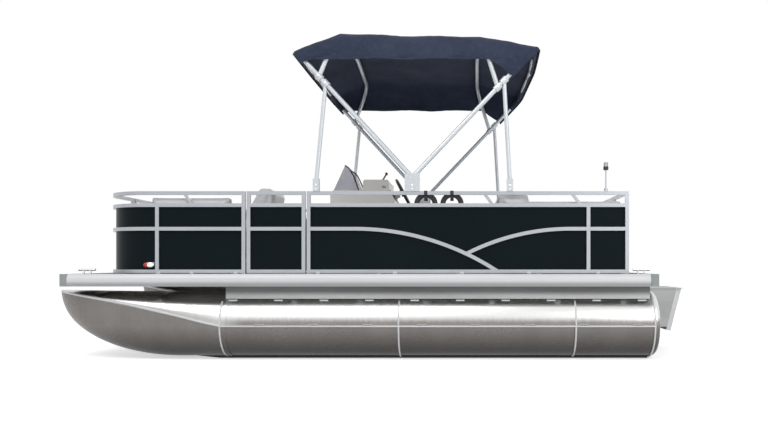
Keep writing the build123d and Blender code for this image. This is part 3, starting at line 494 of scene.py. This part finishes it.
# cushions: the node's own form, remeshed, blown up a little by cloth pressure, then sewn
cushionLook = dict(merge=0.0002, voxel=0.010, pressure=3.5, quality=4, frames=16, cap=0.012, shrink=0.006,
                   smooth=0.5, smoothRounds=3, sewLean=0.55, sewReach=3)


def copyNode(name, newName):
    copy = bpy.data.objects.new(newName, nodes[name].data.copy())
    bpy.context.scene.collection.objects.link(copy)
    pick(copy)
    editAll(bpy.ops.mesh.remove_doubles, threshold=cushionLook["merge"])
    return copy


def plump(obj, floorZ):
    remesh = obj.modifiers.new("remesh", "REMESH")
    remesh.mode = "VOXEL"
    remesh.voxel_size = cushionLook["voxel"]
    applyAll(obj)
    start = [v.co.copy() for v in obj.data.vertices]
    normals = [v.normal.copy() for v in obj.data.vertices]
    for v, normal in zip(obj.data.vertices, normals):
        v.co -= normal * cushionLook["shrink"]
    settings = obj.modifiers.new("cloth", "CLOTH").settings
    settings.use_pressure = True
    settings.uniform_pressure_force = cushionLook["pressure"]
    settings.effector_weights.gravity = 0
    settings.quality = cushionLook["quality"]
    scene = bpy.context.scene
    for step in range(1, cushionLook["frames"] + 1):
        scene.frame_set(step)
    applyAll(obj)
    scene.frame_set(1)
    # no vertex strays past the cap, or under the base that the cushion lies on
    for v, rest in zip(obj.data.vertices, start):
        shift = v.co - rest
        if shift.length > cushionLook["cap"]:
            v.co = rest + shift.normalized() * cushionLook["cap"]
        if v.co.z < floorZ:
            v.co.z = floorZ
    smooth = obj.modifiers.new("smooth", "SMOOTH")
    smooth.factor = cushionLook["smooth"]
    smooth.iterations = cushionLook["smoothRounds"]
    return applyAll(obj)


def sewChannels(obj, axis, places, depth, width, facing):
    # pinch lines across the top or the front of a cushion
    facing = Vector(facing)
    leans = [v.normal.dot(facing) for v in obj.data.vertices]
    for v, lean in zip(obj.data.vertices, leans):
        if lean > cushionLook["sewLean"]:
            for place in places:
                gap = (v.co[axis] - place) / width
                if abs(gap) < cushionLook["sewReach"]:
                    v.co -= facing * depth * math.exp(-gap * gap)


def softNode(name, newName, channels, body="hull", fill=0.7):
    obj = plump(copyNode(name, newName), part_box(name)[0].z)
    for line in channels:
        sewChannels(obj, **line)
    finishPiece(obj, "paleVinyl", body, angle=60)
    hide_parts(name)


def seam(axis, places, facing, depth=0.006, width=0.010):
    return dict(axis=axis, places=places, depth=depth, width=width, facing=facing)


# seats
softPieces = (
    ("bow_cushions", "bowCushions", [seam(0, (1.66, 2.03), (0, 0, 1), depth=0.007)]),
    ("bow_backs", "bowBackrests", [seam(0, (1.54, 1.78, 1.91), (0, -1, 0)), seam(0, (1.91,), (0, 1, 0))]),
    ("chaise_back", "chaiseBackrest", [seam(1, (-0.92, -0.64), (0.7, 0, 0.71), depth=0.008, width=0.012)]),
    ("stern_cushions", "sternCushions", [seam(1, (-0.72, 0.0, 0.72), (0, 0, 1), depth=0.007)]),
    ("stern_backs", "sternBackrests", [seam(1, (-0.72, 0.0, 0.72), (1, 0, 0))]),
    ("seat_cushion", "helmCushion", [seam(1, (-0.74, -0.50), (0, 0, 1))], "helm_seat"),
    ("seat_back", "helmBackrest", [seam(1, (-0.74, -0.50), (1, 0, 0))], "helm_seat"),
)
for entry in softPieces:
    softNode(*entry)
print("cushions plumped:", len(softPieces))

# canopy: one cloth over four bows. Each bow gives its foot, its crossbar's middle, its corner radius and
# the height where the cloth's side ends. Steps count a half arch's side, corner and top; alongSpan, sagShares
# and fanX go by the span between two bows
canopyShape = dict(halfWidth=1.12, crown=0.07, crownPower=1.25, offset=0.0290, thick=0.0016,
                   lipOut=0.026, lipDrop=0.030, lipShares=(0.35, 1.0),
                   steps=(7, 9, 26), pocketSteps=(6, 8, 24), alongSpan=(16, 30, 16))
canopyFolds = dict(sag=0.011, sagShares=(0.8, 1.4, 0.8), sagPower=4,
                   fold=0.013, foldStart=0.72, foldAtBow=0.25, fanX=(0.9, -0.3, -1.5), fanZ=2.45, fanWaves=17,
                   fanDrift=3, sideWaves=(29, 9), sideShare=0.5,
                   pull=0.006, pullWaves=(11, 7), pullTwist=(2, 3))
canopyTrim = dict(hemWide=0.028, hemLift=0.0026, band=0.003, pocketRadius=0.0245, pocketEnd=5)
mainFoot = ((-0.260, 1.640), (-0.324, 1.640))
mainTop = ((0.772, 2.760), (-1.420, 2.795))
shortShares = (0.76, 0.655)


def alongLeg(end, share):
    return tuple(a + share * (b - a) for a, b in zip(mainFoot[end], mainTop[end]))


canopyBows = (
    dict(foot=mainFoot[0], top=mainTop[0], corner=0.100, edge=2.618),
    dict(foot=alongLeg(0, shortShares[0]), top=(0.345, 2.945), corner=0.230, edge=2.635),
    dict(foot=alongLeg(1, shortShares[1]), top=(-0.878, 2.918), corner=0.230, edge=2.635),
    dict(foot=mainFoot[1], top=mainTop[1], corner=0.100, edge=2.505),
)


def archLine(bow, offset, steps):
    # from the port lower edge over to the starboard lower edge, in (y, s) of the bow's plane, then in space
    fx, fz = bow["foot"]
    tx, tz = bow["top"]
    length = math.hypot(tx - fx, tz - fz)
    dx, dz = (tx - fx) / length, (tz - fz) / length
    half = canopyShape["halfWidth"] + offset
    eave = length - canopyShape["crown"] + offset
    low = (bow["edge"] - fz) / dz
    radius = bow["corner"] + offset
    lean = math.atan2(canopyShape["crown"], half)
    turn = math.pi / 2 - lean
    tangent = radius * math.tan(turn / 2)
    side, corner, top = steps

    def onCorner(angle):
        return half - radius + radius * math.cos(angle), eave - tangent + radius * math.sin(angle)

    points = [(half, low + (eave - tangent - low) * i / side) for i in range(side)]
    points += [onCorner(turn * i / corner) for i in range(corner)]
    startY, startS = onCorner(turn)
    apex = length + offset
    for i in range(top + 1):
        u = i / top
        rise = 1 - (1 - u) ** canopyShape["crownPower"]
        points.append((startY * (1 - u), startS + (apex - startS) * rise))
    points += [(-y, s) for y, s in reversed(points[:-1])]
    return [Vector((fx + dx * s, y, fz + dz * s)) for y, s in points]


def slacken(point, span, v):
    folds = canopyFolds
    flat = abs(point.y) / canopyShape["halfWidth"]
    hang = math.sin(math.pi * v)
    overTop = max(0.0, 1 - flat ** folds["sagPower"])
    point.z -= folds["sag"] * hang * overTop * folds["sagShares"][span]
    # slack folds down the sides
    fan = math.atan2(point.z - folds["fanZ"], point.x - folds["fanX"][span])
    alongX, alongZ = folds["sideWaves"]
    wave = math.sin(folds["fanWaves"] * fan + folds["fanDrift"] * point.x)
    wave += folds["sideShare"] * math.sin(alongX * point.x - alongZ * point.z)
    atBow, start = folds["foldAtBow"], folds["foldStart"]
    out = folds["fold"] * (atBow + (1 - atBow) * hang) * wave * max(0.0, flat - start) / (1 - start)
    point.y += math.copysign(out, point.y)
    # faint pulls from the corners over the top
    alongX, alongY = folds["pullWaves"]
    twist, twistY = folds["pullTwist"]
    phase = alongX * point.x + alongY * abs(point.y) + twist * math.sin(twistY * point.y)
    point.z += folds["pull"] * hang * math.sin(phase)
    return point


def addGrid(rows):
    # a sheet of quads with one vertex for each point of the rows
    count = len(rows[0])
    deselect()
    bpy.ops.mesh.primitive_grid_add(x_subdivisions=count - 1, y_subdivisions=len(rows) - 1, size=1)
    sheet = bpy.context.active_object
    sheet.matrix_world.identity()
    for j, row in enumerate(rows):
        for i, point in enumerate(row):
            sheet.data.vertices[j * count + i].co = point
    return sheet


def thicken(sheet, thickness, offset):
    solid = sheet.modifiers.new("thickness", "SOLIDIFY")
    solid.thickness = thickness
    solid.offset = offset
    return applyAll(sheet)


def makeCanopy():
    lines = [archLine(bow, canopyShape["offset"], canopyShape["steps"]) for bow in canopyBows]
    rows = []
    for span, (first, second) in enumerate(zip(lines[:-1], lines[1:])):
        cuts = canopyShape["alongSpan"][span]
        for k in range(cuts + (span == len(lines) - 2)):
            v = k / cuts
            rows.append([slacken(a.lerp(b, v), span, v) for a, b in zip(first, second)])
    # a turned-down lip past the front and rear bows
    for end, way in ((0, 1), (-1, -1)):
        lips = []
        for share in canopyShape["lipShares"]:
            out = Vector((way * canopyShape["lipOut"] * share, 0, -canopyShape["lipDrop"] * share * share))
            lips.append([p + out for p in rows[end]])
        rows = lips[::-1] + rows if end == 0 else rows + lips
    cloth = addGrid(rows)
    cloth.name = "canopyCloth"
    editAll(bpy.ops.mesh.normals_make_consistent, inside=False)
    middle = min(cloth.data.polygons, key=lambda p: p.center.to_2d().length)
    if middle.normal.z < 0:
        cloth.data.flip_normals()
    area = sum(p.area for p in cloth.data.polygons)
    thicken(cloth, canopyShape["thick"], 1)
    centre = rows[len(rows) // 2]
    width = sum((b - a).length for a, b in zip(centre[:-1], centre[1:]))
    return cloth, rows, area, width


canopyCloth, clothRows, clothArea, clothWidth = makeCanopy()
finishPiece(canopyCloth, "navyCanvas", angle=60)
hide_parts("canopy")


def edgeBand(name, pairs):
    # a doubled strip of cloth along a line of point pairs
    band = thicken(addGrid(pairs), canopyTrim["band"], 0)
    band.name = name
    return band


def hemParts():
    parts = []
    for side, (outer, inner) in ((1, (0, 1)), (-1, (-1, -2))):
        lift = Vector((0, side * canopyTrim["hemLift"], 0))
        pairs = []
        for row in clothRows:
            way = (row[inner] - row[outer]).normalized()
            pairs.append((row[outer] + lift, row[outer] + way * canopyTrim["hemWide"] + lift))
        parts.append(edgeBand("hem", pairs))
    return parts


def pocketParts():
    parts, end = [], canopyTrim["pocketEnd"]
    for bow in (canopyBows[0], canopyBows[-1]):
        line = archLine(bow, 0.0, canopyShape["pocketSteps"])
        parts.append(addTube(line[end:-end], canopyTrim["pocketRadius"], resolution=4))
    return parts


canopyHem = joinPieces(hemParts() + pocketParts(), "canopyHem")
finishPiece(canopyHem, "navyCanvas", angle=50)

# trim on the logs: beads up the nose seam and round the joints, weld tabs under the risers, a side strip
# with its covers. A station gives its share of the nose's length, then its width and rise in log radii
logTrim = dict(y=0.90, noseStart=1.378, noseLength=1.507, radius=0.29, middleZ=0.31, legOut=0.19,
               bead=0.011, perSpan=6, beadEnd=4,
               stations=((0.0, 1.0, 0.0), (0.1, 1.0, 0.11), (0.22, 0.997, 0.269), (0.36, 0.99, 0.441),
                         (0.5, 0.959, 0.603), (0.62, 0.903, 0.724), (0.82, 0.69, 0.89), (0.94, 0.407, 0.979),
                         (1.0, 0.083, 1.028)),
               rings=((1.378, 0.291), (-0.177, 0.295), (-1.720, 0.295), (-2.408, 0.295)), ringBead=0.0075,
               ringArc=(-225, 270), ringSteps=48)
logRows = dict(
    tabs=dict(start=-2.35, pitch=0.40, count=10, long=0.075, half=0.010, z=(0.517, 0.533), bevel=0.003),
    strip=dict(start=-2.416, pitch=0.0, count=1, long=3.794, half=0.012, z=(0.299, 0.312), bevel=0.002),
    covers=dict(start=-2.30, pitch=0.47, count=8, long=0.085, half=0.010, z=(0.311, 0.324), bevel=0.003),
)


def smoothLine(points, perSpan):
    # a curve through all the points, with the neighbours giving its slope
    out = []
    for i in range(len(points) - 1):
        a = points[max(0, i - 1)]
        b, c = points[i], points[i + 1]
        d = points[min(len(points) - 1, i + 2)]
        for k in range(perSpan):
            t = k / perSpan
            bend = (2 * a - 5 * b + 4 * c - d) * t * t + (3 * b - a - 3 * c + d) * t ** 3
            out.append(0.5 * ((2 * b) + (c - a) * t + bend))
    out.append(points[-1])
    return out


def blockRow(row, y):
    (lowZ, highZ), half = row["z"], row["half"]
    starts = [row["start"] + i * row["pitch"] for i in range(row["count"])]
    return [addBlock((x, y - half, lowZ), (x + row["long"], y + half, highZ), row["bevel"]) for x in starts]


def makeLogTrim():
    beads, tabs = [], []
    radius, middleZ = logTrim["radius"], logTrim["middleZ"]
    for side in (1, -1):
        logY = side * logTrim["y"]
        for flank in (1, -1):
            path = [Vector((logTrim["noseStart"] + share * logTrim["noseLength"],
                            logY + flank * wide * radius, middleZ + up * radius))
                    for share, wide, up in logTrim["stations"]]
            line = smoothLine(path, logTrim["perSpan"])
            beads.append(addTube(line[:-logTrim["beadEnd"]], logTrim["bead"]))
        stripY = side * (logTrim["y"] + radius)
        tabs += blockRow(logRows["tabs"], side * (logTrim["y"] + logTrim["legOut"]))
        tabs += blockRow(logRows["strip"], stripY) + blockRow(logRows["covers"], stripY)
        # the rings are open at the top, where the riser stands on the log
        start, sweep = logTrim["ringArc"]
        steps = logTrim["ringSteps"]
        turns = [math.radians(start + sweep * k / steps) for k in range(steps + 1)]
        for x, reach in logTrim["rings"]:
            ring = [Vector((x, logY + reach * math.cos(t), middleZ + reach * math.sin(t))) for t in turns]
            beads.append(addTube(ring, logTrim["ringBead"]))
    finishPiece(joinPieces(beads, "noseSeamBeads"), "brightEdge")
    finishPiece(joinPieces(tabs, "weldTabs"), "brightEdge")


makeLogTrim()
print("log trim made")

# bolts through the canopy clamps and sockets. legHead gives radius and height, socketHeads the drop as well
clampLook = dict(shares=((0.705, 0.76), (0.705, 0.655)), legY=1.149, legHead=(0.010, 0.007),
                 socketX=(0.55, -0.292, -1.148), socketY=1.1435, socketZ=1.535,
                 socketHeads=((0.0, 0.009, 0.006), (0.032, 0.006, 0.005)), sides=12, dome=0.45)


def boltHead(x, y, z, side, radius, high):
    return addRod((x, side * y, z), (x, side * (y + high), z), radius, clampLook["sides"],
                  high * clampLook["dome"])


def makeScrews():
    heads = []
    for side in (1, -1):
        for end, shares in enumerate(clampLook["shares"]):
            for share in shares:
                x, z = alongLeg(end, share)
                heads.append(boltHead(x, clampLook["legY"], z, side, *clampLook["legHead"]))
        for x in clampLook["socketX"]:
            for drop, radius, high in clampLook["socketHeads"]:
                z = clampLook["socketZ"] - drop
                heads.append(boltHead(x, clampLook["socketY"], z, side, radius, high))
    finishPiece(joinPieces(heads, "screwHeads"), "fittingChrome")


makeScrews()
print("screws made")

# lights: coloured bullets in the side lamps, a clear globe over the stern lamp's cup
lampLook = dict(x=2.034, y=1.139, z=0.838, lensSize=(0.025, 0.018, 0.0221), hoodBack=0.034,
                hoodSize=(0.036, 0.018, 0.026), segments=24, rings=14)
sternLamp = dict(x=-1.99, y=1.12, sides=24,
                 sternGlobe=dict(z=(1.700, 1.738), radius=0.0195, bevel=0.006),
                 sternCup=dict(z=(1.670, 1.7005), radius=0.0225, bevel=0.004))


def addBulb(x, side, size):
    deselect()
    bpy.ops.mesh.primitive_uv_sphere_add(segments=lampLook["segments"], ring_count=lampLook["rings"],
                                         radius=1, location=(x, side * lampLook["y"], lampLook["z"]))
    obj = bpy.context.active_object
    obj.scale = size
    return settle(obj)


def makeLamps():
    for side, lens, name in ((1, "redLens", "portLens"), (-1, "greenLens", "starboardLens")):
        bulb = addBulb(lampLook["x"], side, lampLook["lensSize"])
        finishPiece(bulb, lens).name = name
        hood = addBulb(lampLook["x"] - lampLook["hoodBack"], side, lampLook["hoodSize"])
        finishPiece(hood, "fittingChrome").name = name + "Hood"
    for name, finish, slot in (("sternGlobe", "clearLens", "screen"),
                               ("sternCup", "blackPlastic", "black_plastic")):
        look = sternLamp[name]
        low, high = [(sternLamp["x"], sternLamp["y"], z) for z in look["z"]]
        rod = addRod(low, high, look["radius"], sternLamp["sides"], look["bevel"])
        finishPiece(rod, finish).name = name


makeLamps()
print("lamps made")

# helm: dash plate with dials on the sloped face, slits in the console's side and edge trim on the screen
dashLook = dict(tilt=28.0, footX=0.0, footZ=1.535, slope=0.118, y=(-1.035, -0.475), plate=(0.0003, 0.004),
                margin=0.006, plateBevel=0.0012, dials=(-0.965, -0.895, -0.615),
                switches=(-0.56, -0.535, -0.51), slits=(1.668, 1.682), slitX=(0.095, 0.140),
                slitY=(-0.451, -0.448), slitHigh=0.006, slitBevel=0.0008)
knobLook = dict(rim=dict(along=0.066, out=(0.003, 0.011), radius=0.026, sides=32, bevel=0.003),
                face=dict(along=0.066, out=(0.004, 0.0115), radius=0.02184, sides=32, bevel=0.001),
                switch=dict(along=0.05, out=(0.003, 0.016), radius=0.008, sides=16, bevel=0.003))
screenEdge = dict(sides=(-0.478, -1.032), topX=0.538, edgeRadius=0.0075, topRadius=0.006, perSpan=6,
                  line=((0.394, 1.643), (0.430, 1.752), (0.472, 1.842), (0.500, 1.882), (0.540, 1.911)))


def onDash(along, y, out):
    tilt = math.radians(dashLook["tilt"])
    up = Vector((math.sin(tilt), 0, math.cos(tilt)))
    away = Vector((-math.cos(tilt), 0, math.sin(tilt)))
    return Vector((dashLook["footX"], y, dashLook["footZ"])) + up * along + away * out


def addKnobs(kind, places):
    look = knobLook[kind]
    knobs = []
    for y in places:
        start, end = [onDash(look["along"], y, out) for out in look["out"]]
        knobs.append(addRod(start, end, look["radius"], look["sides"], look["bevel"]))
    return knobs


def makeDash():
    length = dashLook["slope"] / math.cos(math.radians(dashLook["tilt"]))
    margin = dashLook["margin"]
    plate = addBlock((-0.5, -0.5, -0.5), (0.5, 0.5, 0.5), 0)
    for v in plate.data.vertices:
        # each corner of a unit cube goes to its corner of the plate
        along = margin if v.co.z < 0 else length - margin
        v.co = onDash(along, dashLook["y"][v.co.y > 0], dashLook["plate"][v.co.x < 0])
    plate.modifiers.new("edge", "BEVEL").width = dashLook["plateBevel"]
    black = [applyAll(plate)] + addKnobs("switch", dashLook["switches"])
    (lowX, highX), (lowY, highY) = dashLook["slitX"], dashLook["slitY"]
    for z in dashLook["slits"]:
        high = (highX, highY, z + dashLook["slitHigh"])
        black.append(addBlock((lowX, lowY, z), high, dashLook["slitBevel"]))
    finishPiece(joinPieces(black, "dashPlate"), "blackPlastic")
    rims, faces = addKnobs("rim", dashLook["dials"]), addKnobs("face", dashLook["dials"])
    finishPiece(joinPieces(rims, "dialRims"), "fittingChrome")
    finishPiece(joinPieces(faces, "dialFaces"), "gelCoat")


def makeScreenTrim():
    trims = []
    for y in screenEdge["sides"]:
        edge = [Vector((x, y, z)) for x, z in screenEdge["line"]]
        trims.append(addTube(smoothLine(edge, screenEdge["perSpan"]), screenEdge["edgeRadius"]))
    topZ = screenEdge["line"][-1][1]
    top = [Vector((screenEdge["topX"], y, topZ)) for y in screenEdge["sides"]]
    trims.append(addTube(top, screenEdge["topRadius"]))
    finishPiece(joinPieces(trims, "screenTrim"), "blackPlastic")


makeDash()
makeScreenTrim()
print("helm dressed")

# straps that hang the rings on the port rail: over the rail, down through the ring and back, in (y, z)
strapLook = dict(places=(-0.41, -0.64), width=0.030,
                 loop=((1.1345, 1.4865), (1.1345, 1.4495), (1.1045, 1.4455), (1.098, 1.420), (1.082, 1.403),
                       (1.060, 1.420), (1.056, 1.4615), (1.085, 1.4845), (1.1345, 1.4865)))


def makeStraps():
    straps = []
    half = strapLook["width"] / 2
    for x in strapLook["places"]:
        pairs = [(Vector((x - half, y, z)), Vector((x + half, y, z))) for y, z in strapLook["loop"]]
        straps.append(edgeBand("strap", pairs))
    finishPiece(joinPieces(straps, "ringStraps"), "ringRubber", angle=50)


makeStraps()

# piping round the cushions' upper edges. A loop gives its low and high corner and its corner radii in the
# order low-low, high-low, high-high, low-high
pipingLook = dict(radius=0.0055, drop=0.012, helmCorner=0.05, wideCorner=0.1, cornerSteps=(4, 16),
                  bow=((1.30, 0.47), (2.40, 1.09), (0.03, 0.03, 0.38, 0.03)),
                  stern=(((-2.14, -1.085), (-1.542, -0.36367), (0.02,) * 4),
                         ((-2.14, -0.36167), (-1.542, 0.35967), (0.02,) * 4),
                         ((-2.14, 0.36167), (-1.542, 1.083), (0.02,) * 4),
                         ((-1.538, 0.50), (-1.317, 1.083), (0.02,) * 4)))


def roundedLoop(low, high, radii, z):
    points = []
    spots = ((low[0], low[1], 180), (high[0], low[1], 270), (high[0], high[1], 0), (low[0], high[1], 90))
    for (x, y, start), radius in zip(spots, radii):
        cx = x + radius * (1 if start in (180, 90) else -1)
        cy = y + radius * (1 if start in (180, 270) else -1)
        steps = pipingLook["cornerSteps"][radius >= pipingLook["wideCorner"]]
        for k in range(steps + 1):
            turn = math.radians(start + 90 * k / steps)
            points.append(Vector((cx + radius * math.cos(turn), cy + radius * math.sin(turn), z)))
    return points


def makePiping():
    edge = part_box("bow_cushions")[1].z - pipingLook["drop"]
    port = roundedLoop(*pipingLook["bow"], edge)
    starboard = [Vector((p.x, -p.y, p.z)) for p in port]
    loops = [port, starboard] + [roundedLoop(*spot, edge) for spot in pipingLook["stern"]]
    tubes = [addTube(loop, pipingLook["radius"], cyclic=True) for loop in loops]
    finishPiece(joinPieces(tubes, "cushionPiping"), "greyVinyl", angle=60)
    low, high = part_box("seat_cushion")
    loop = roundedLoop(low, high, (pipingLook["helmCorner"],) * 4, high.z - pipingLook["drop"])
    helm = addTube(loop, pipingLook["radius"], cyclic=True)
    helm.name = "helmPiping"
    finishPiece(helm, "greyVinyl", "helm_seat", angle=60)


makePiping()
print("straps and piping made")

# rolled facing on the deck's edge, and the feet that carry the lower rail
edgeRoll = dict(high=0.052, out=0.034, sink=0.018, z=0.7045, sides=48, corner=0.08)
railFeet = dict(places=(1.93, 1.64, 1.254, 0.535, -0.14, -0.728, -1.316, -1.921), long=0.034,
                y=(1.10, 1.1365), z=(0.757, 0.778), bevel=0.003)


def makeEdgeRoll():
    low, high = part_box("deck_edges")
    length = high.x - low.x - 2 * edgeRoll["corner"]
    rolls = []
    for side in (1, -1):
        deselect()
        place = ((low.x + high.x) / 2, side * (high.y - edgeRoll["sink"]), edgeRoll["z"])
        bpy.ops.mesh.primitive_cylinder_add(vertices=edgeRoll["sides"], radius=1, depth=length,
                                            location=place, rotation=(0, math.pi / 2, 0))
        roll = bpy.context.active_object
        roll.scale = (edgeRoll["high"], edgeRoll["out"], 1)
        rolls.append(settle(roll))
    finishPiece(joinPieces(rolls, "edgeRolls"), "edgeFacing", angle=30)


def makeRailFeet():
    feet = []
    (lowZ, highZ), half = railFeet["z"], railFeet["long"] / 2
    for side in (1, -1):
        lowY, highY = sorted(side * y for y in railFeet["y"])
        for x in railFeet["places"]:
            feet.append(addBlock((x - half, lowY, lowZ), (x + half, highY, highZ), railFeet["bevel"]))
    finishPiece(joinPieces(feet, "railFeet"), "brightEdge")


makeEdgeRoll()
makeRailFeet()
print("deck edge dressed")

# floor, light, background and camera
studio = dict(floorSize=80.0, floorZ=-0.0005, floorLift=0.56, floorColor=(0.93, 0.93, 0.93, 1),
              floorRough=0.9, white=(1, 1, 1, 1), skyStrength=0.42, aim=(0, 0, 1.0))
lamps = dict(keyLight=dict(place=(2.5, 6.0, 7.5), power=340, size=6.0),
             fillLight=dict(place=(-5.5, 6.5, 4.0), power=160, size=5.0),
             backLight=dict(place=(0.0, -7.0, 6.0), power=160, size=6.0))
view = dict(place=(-0.746, 7.97, 0.846), lens=36.61, sensor=36.0, shiftX=-0.1042, shiftY=0.0625)


def seenRays(tree):
    # 1 for rays from the camera and for those off metal and through glass
    paths = addNode(tree, "ShaderNodeLightPath").outputs
    most = addMath(tree, "MAXIMUM", paths["Is Camera Ray"], paths["Is Glossy Ray"])
    return addMath(tree, "MAXIMUM", most, paths["Is Transmission Ray"])


def makeFloor():
    bpy.ops.mesh.primitive_plane_add(size=studio["floorSize"], location=(0, 0, studio["floorZ"]))
    floor = bpy.context.active_object
    floor.name = "floor"
    floor.data.transform(floor.matrix_world)
    floor.matrix_world.identity()
    material, tree, shader, _ = startMaterial("paleFloor")
    plug(tree, shader, {"Base Color": studio["floorColor"], "Roughness": studio["floorRough"]})
    glow = addNode(tree, "ShaderNodeEmission")
    plug(tree, glow, {"Strength": addMath(tree, "MULTIPLY", seenRays(tree), studio["floorLift"])})
    both = addNode(tree, "ShaderNodeAddShader")
    plug(tree, both, {0: shader.outputs["BSDF"], 1: glow.outputs["Emission"]})
    plug(tree, tree.nodes["Material Output"], {"Surface": both.outputs["Shader"]})
    floor.data.materials.append(material)


def makeWorld():
    world = bpy.data.worlds.new("studioWorld")
    bpy.context.scene.world = world
    world.use_nodes = True
    tree = world.node_tree
    sky = tree.nodes["Background"]
    plug(tree, sky, {"Color": studio["white"], "Strength": studio["skyStrength"]})
    white = addNode(tree, "ShaderNodeBackground")
    plug(tree, white, {"Color": studio["white"], "Strength": 1.0})
    choice = addNode(tree, "ShaderNodeMixShader")
    plug(tree, choice, {"Fac": seenRays(tree), 1: sky.outputs["Background"],
                        2: white.outputs["Background"]})
    plug(tree, tree.nodes["World Output"], {"Surface": choice.outputs["Shader"]})


def makeLights():
    for name, look in lamps.items():
        bpy.ops.object.light_add(type="AREA", location=look["place"])
        lamp = bpy.context.active_object
        lamp.name = name
        lamp.data.energy = look["power"]
        lamp.data.size = look["size"]
        aim = Vector(studio["aim"]) - Vector(look["place"])
        lamp.rotation_euler = aim.to_track_quat("-Z", "Y").to_euler()


def makeCamera():
    bpy.ops.object.camera_add(location=view["place"], rotation=(math.pi / 2, 0, math.pi))
    camera = bpy.context.active_object
    camera.name = "photoCamera"
    camera.data.sensor_width = view["sensor"]
    camera.data.lens = view["lens"]
    camera.data.shift_x = view["shiftX"]
    camera.data.shift_y = view["shiftY"]
    bpy.context.scene.camera = camera


makeFloor()
makeWorld()
makeLights()
makeCamera()
bpy.context.scene.view_settings.view_transform = "Standard"
print("studio and camera set")
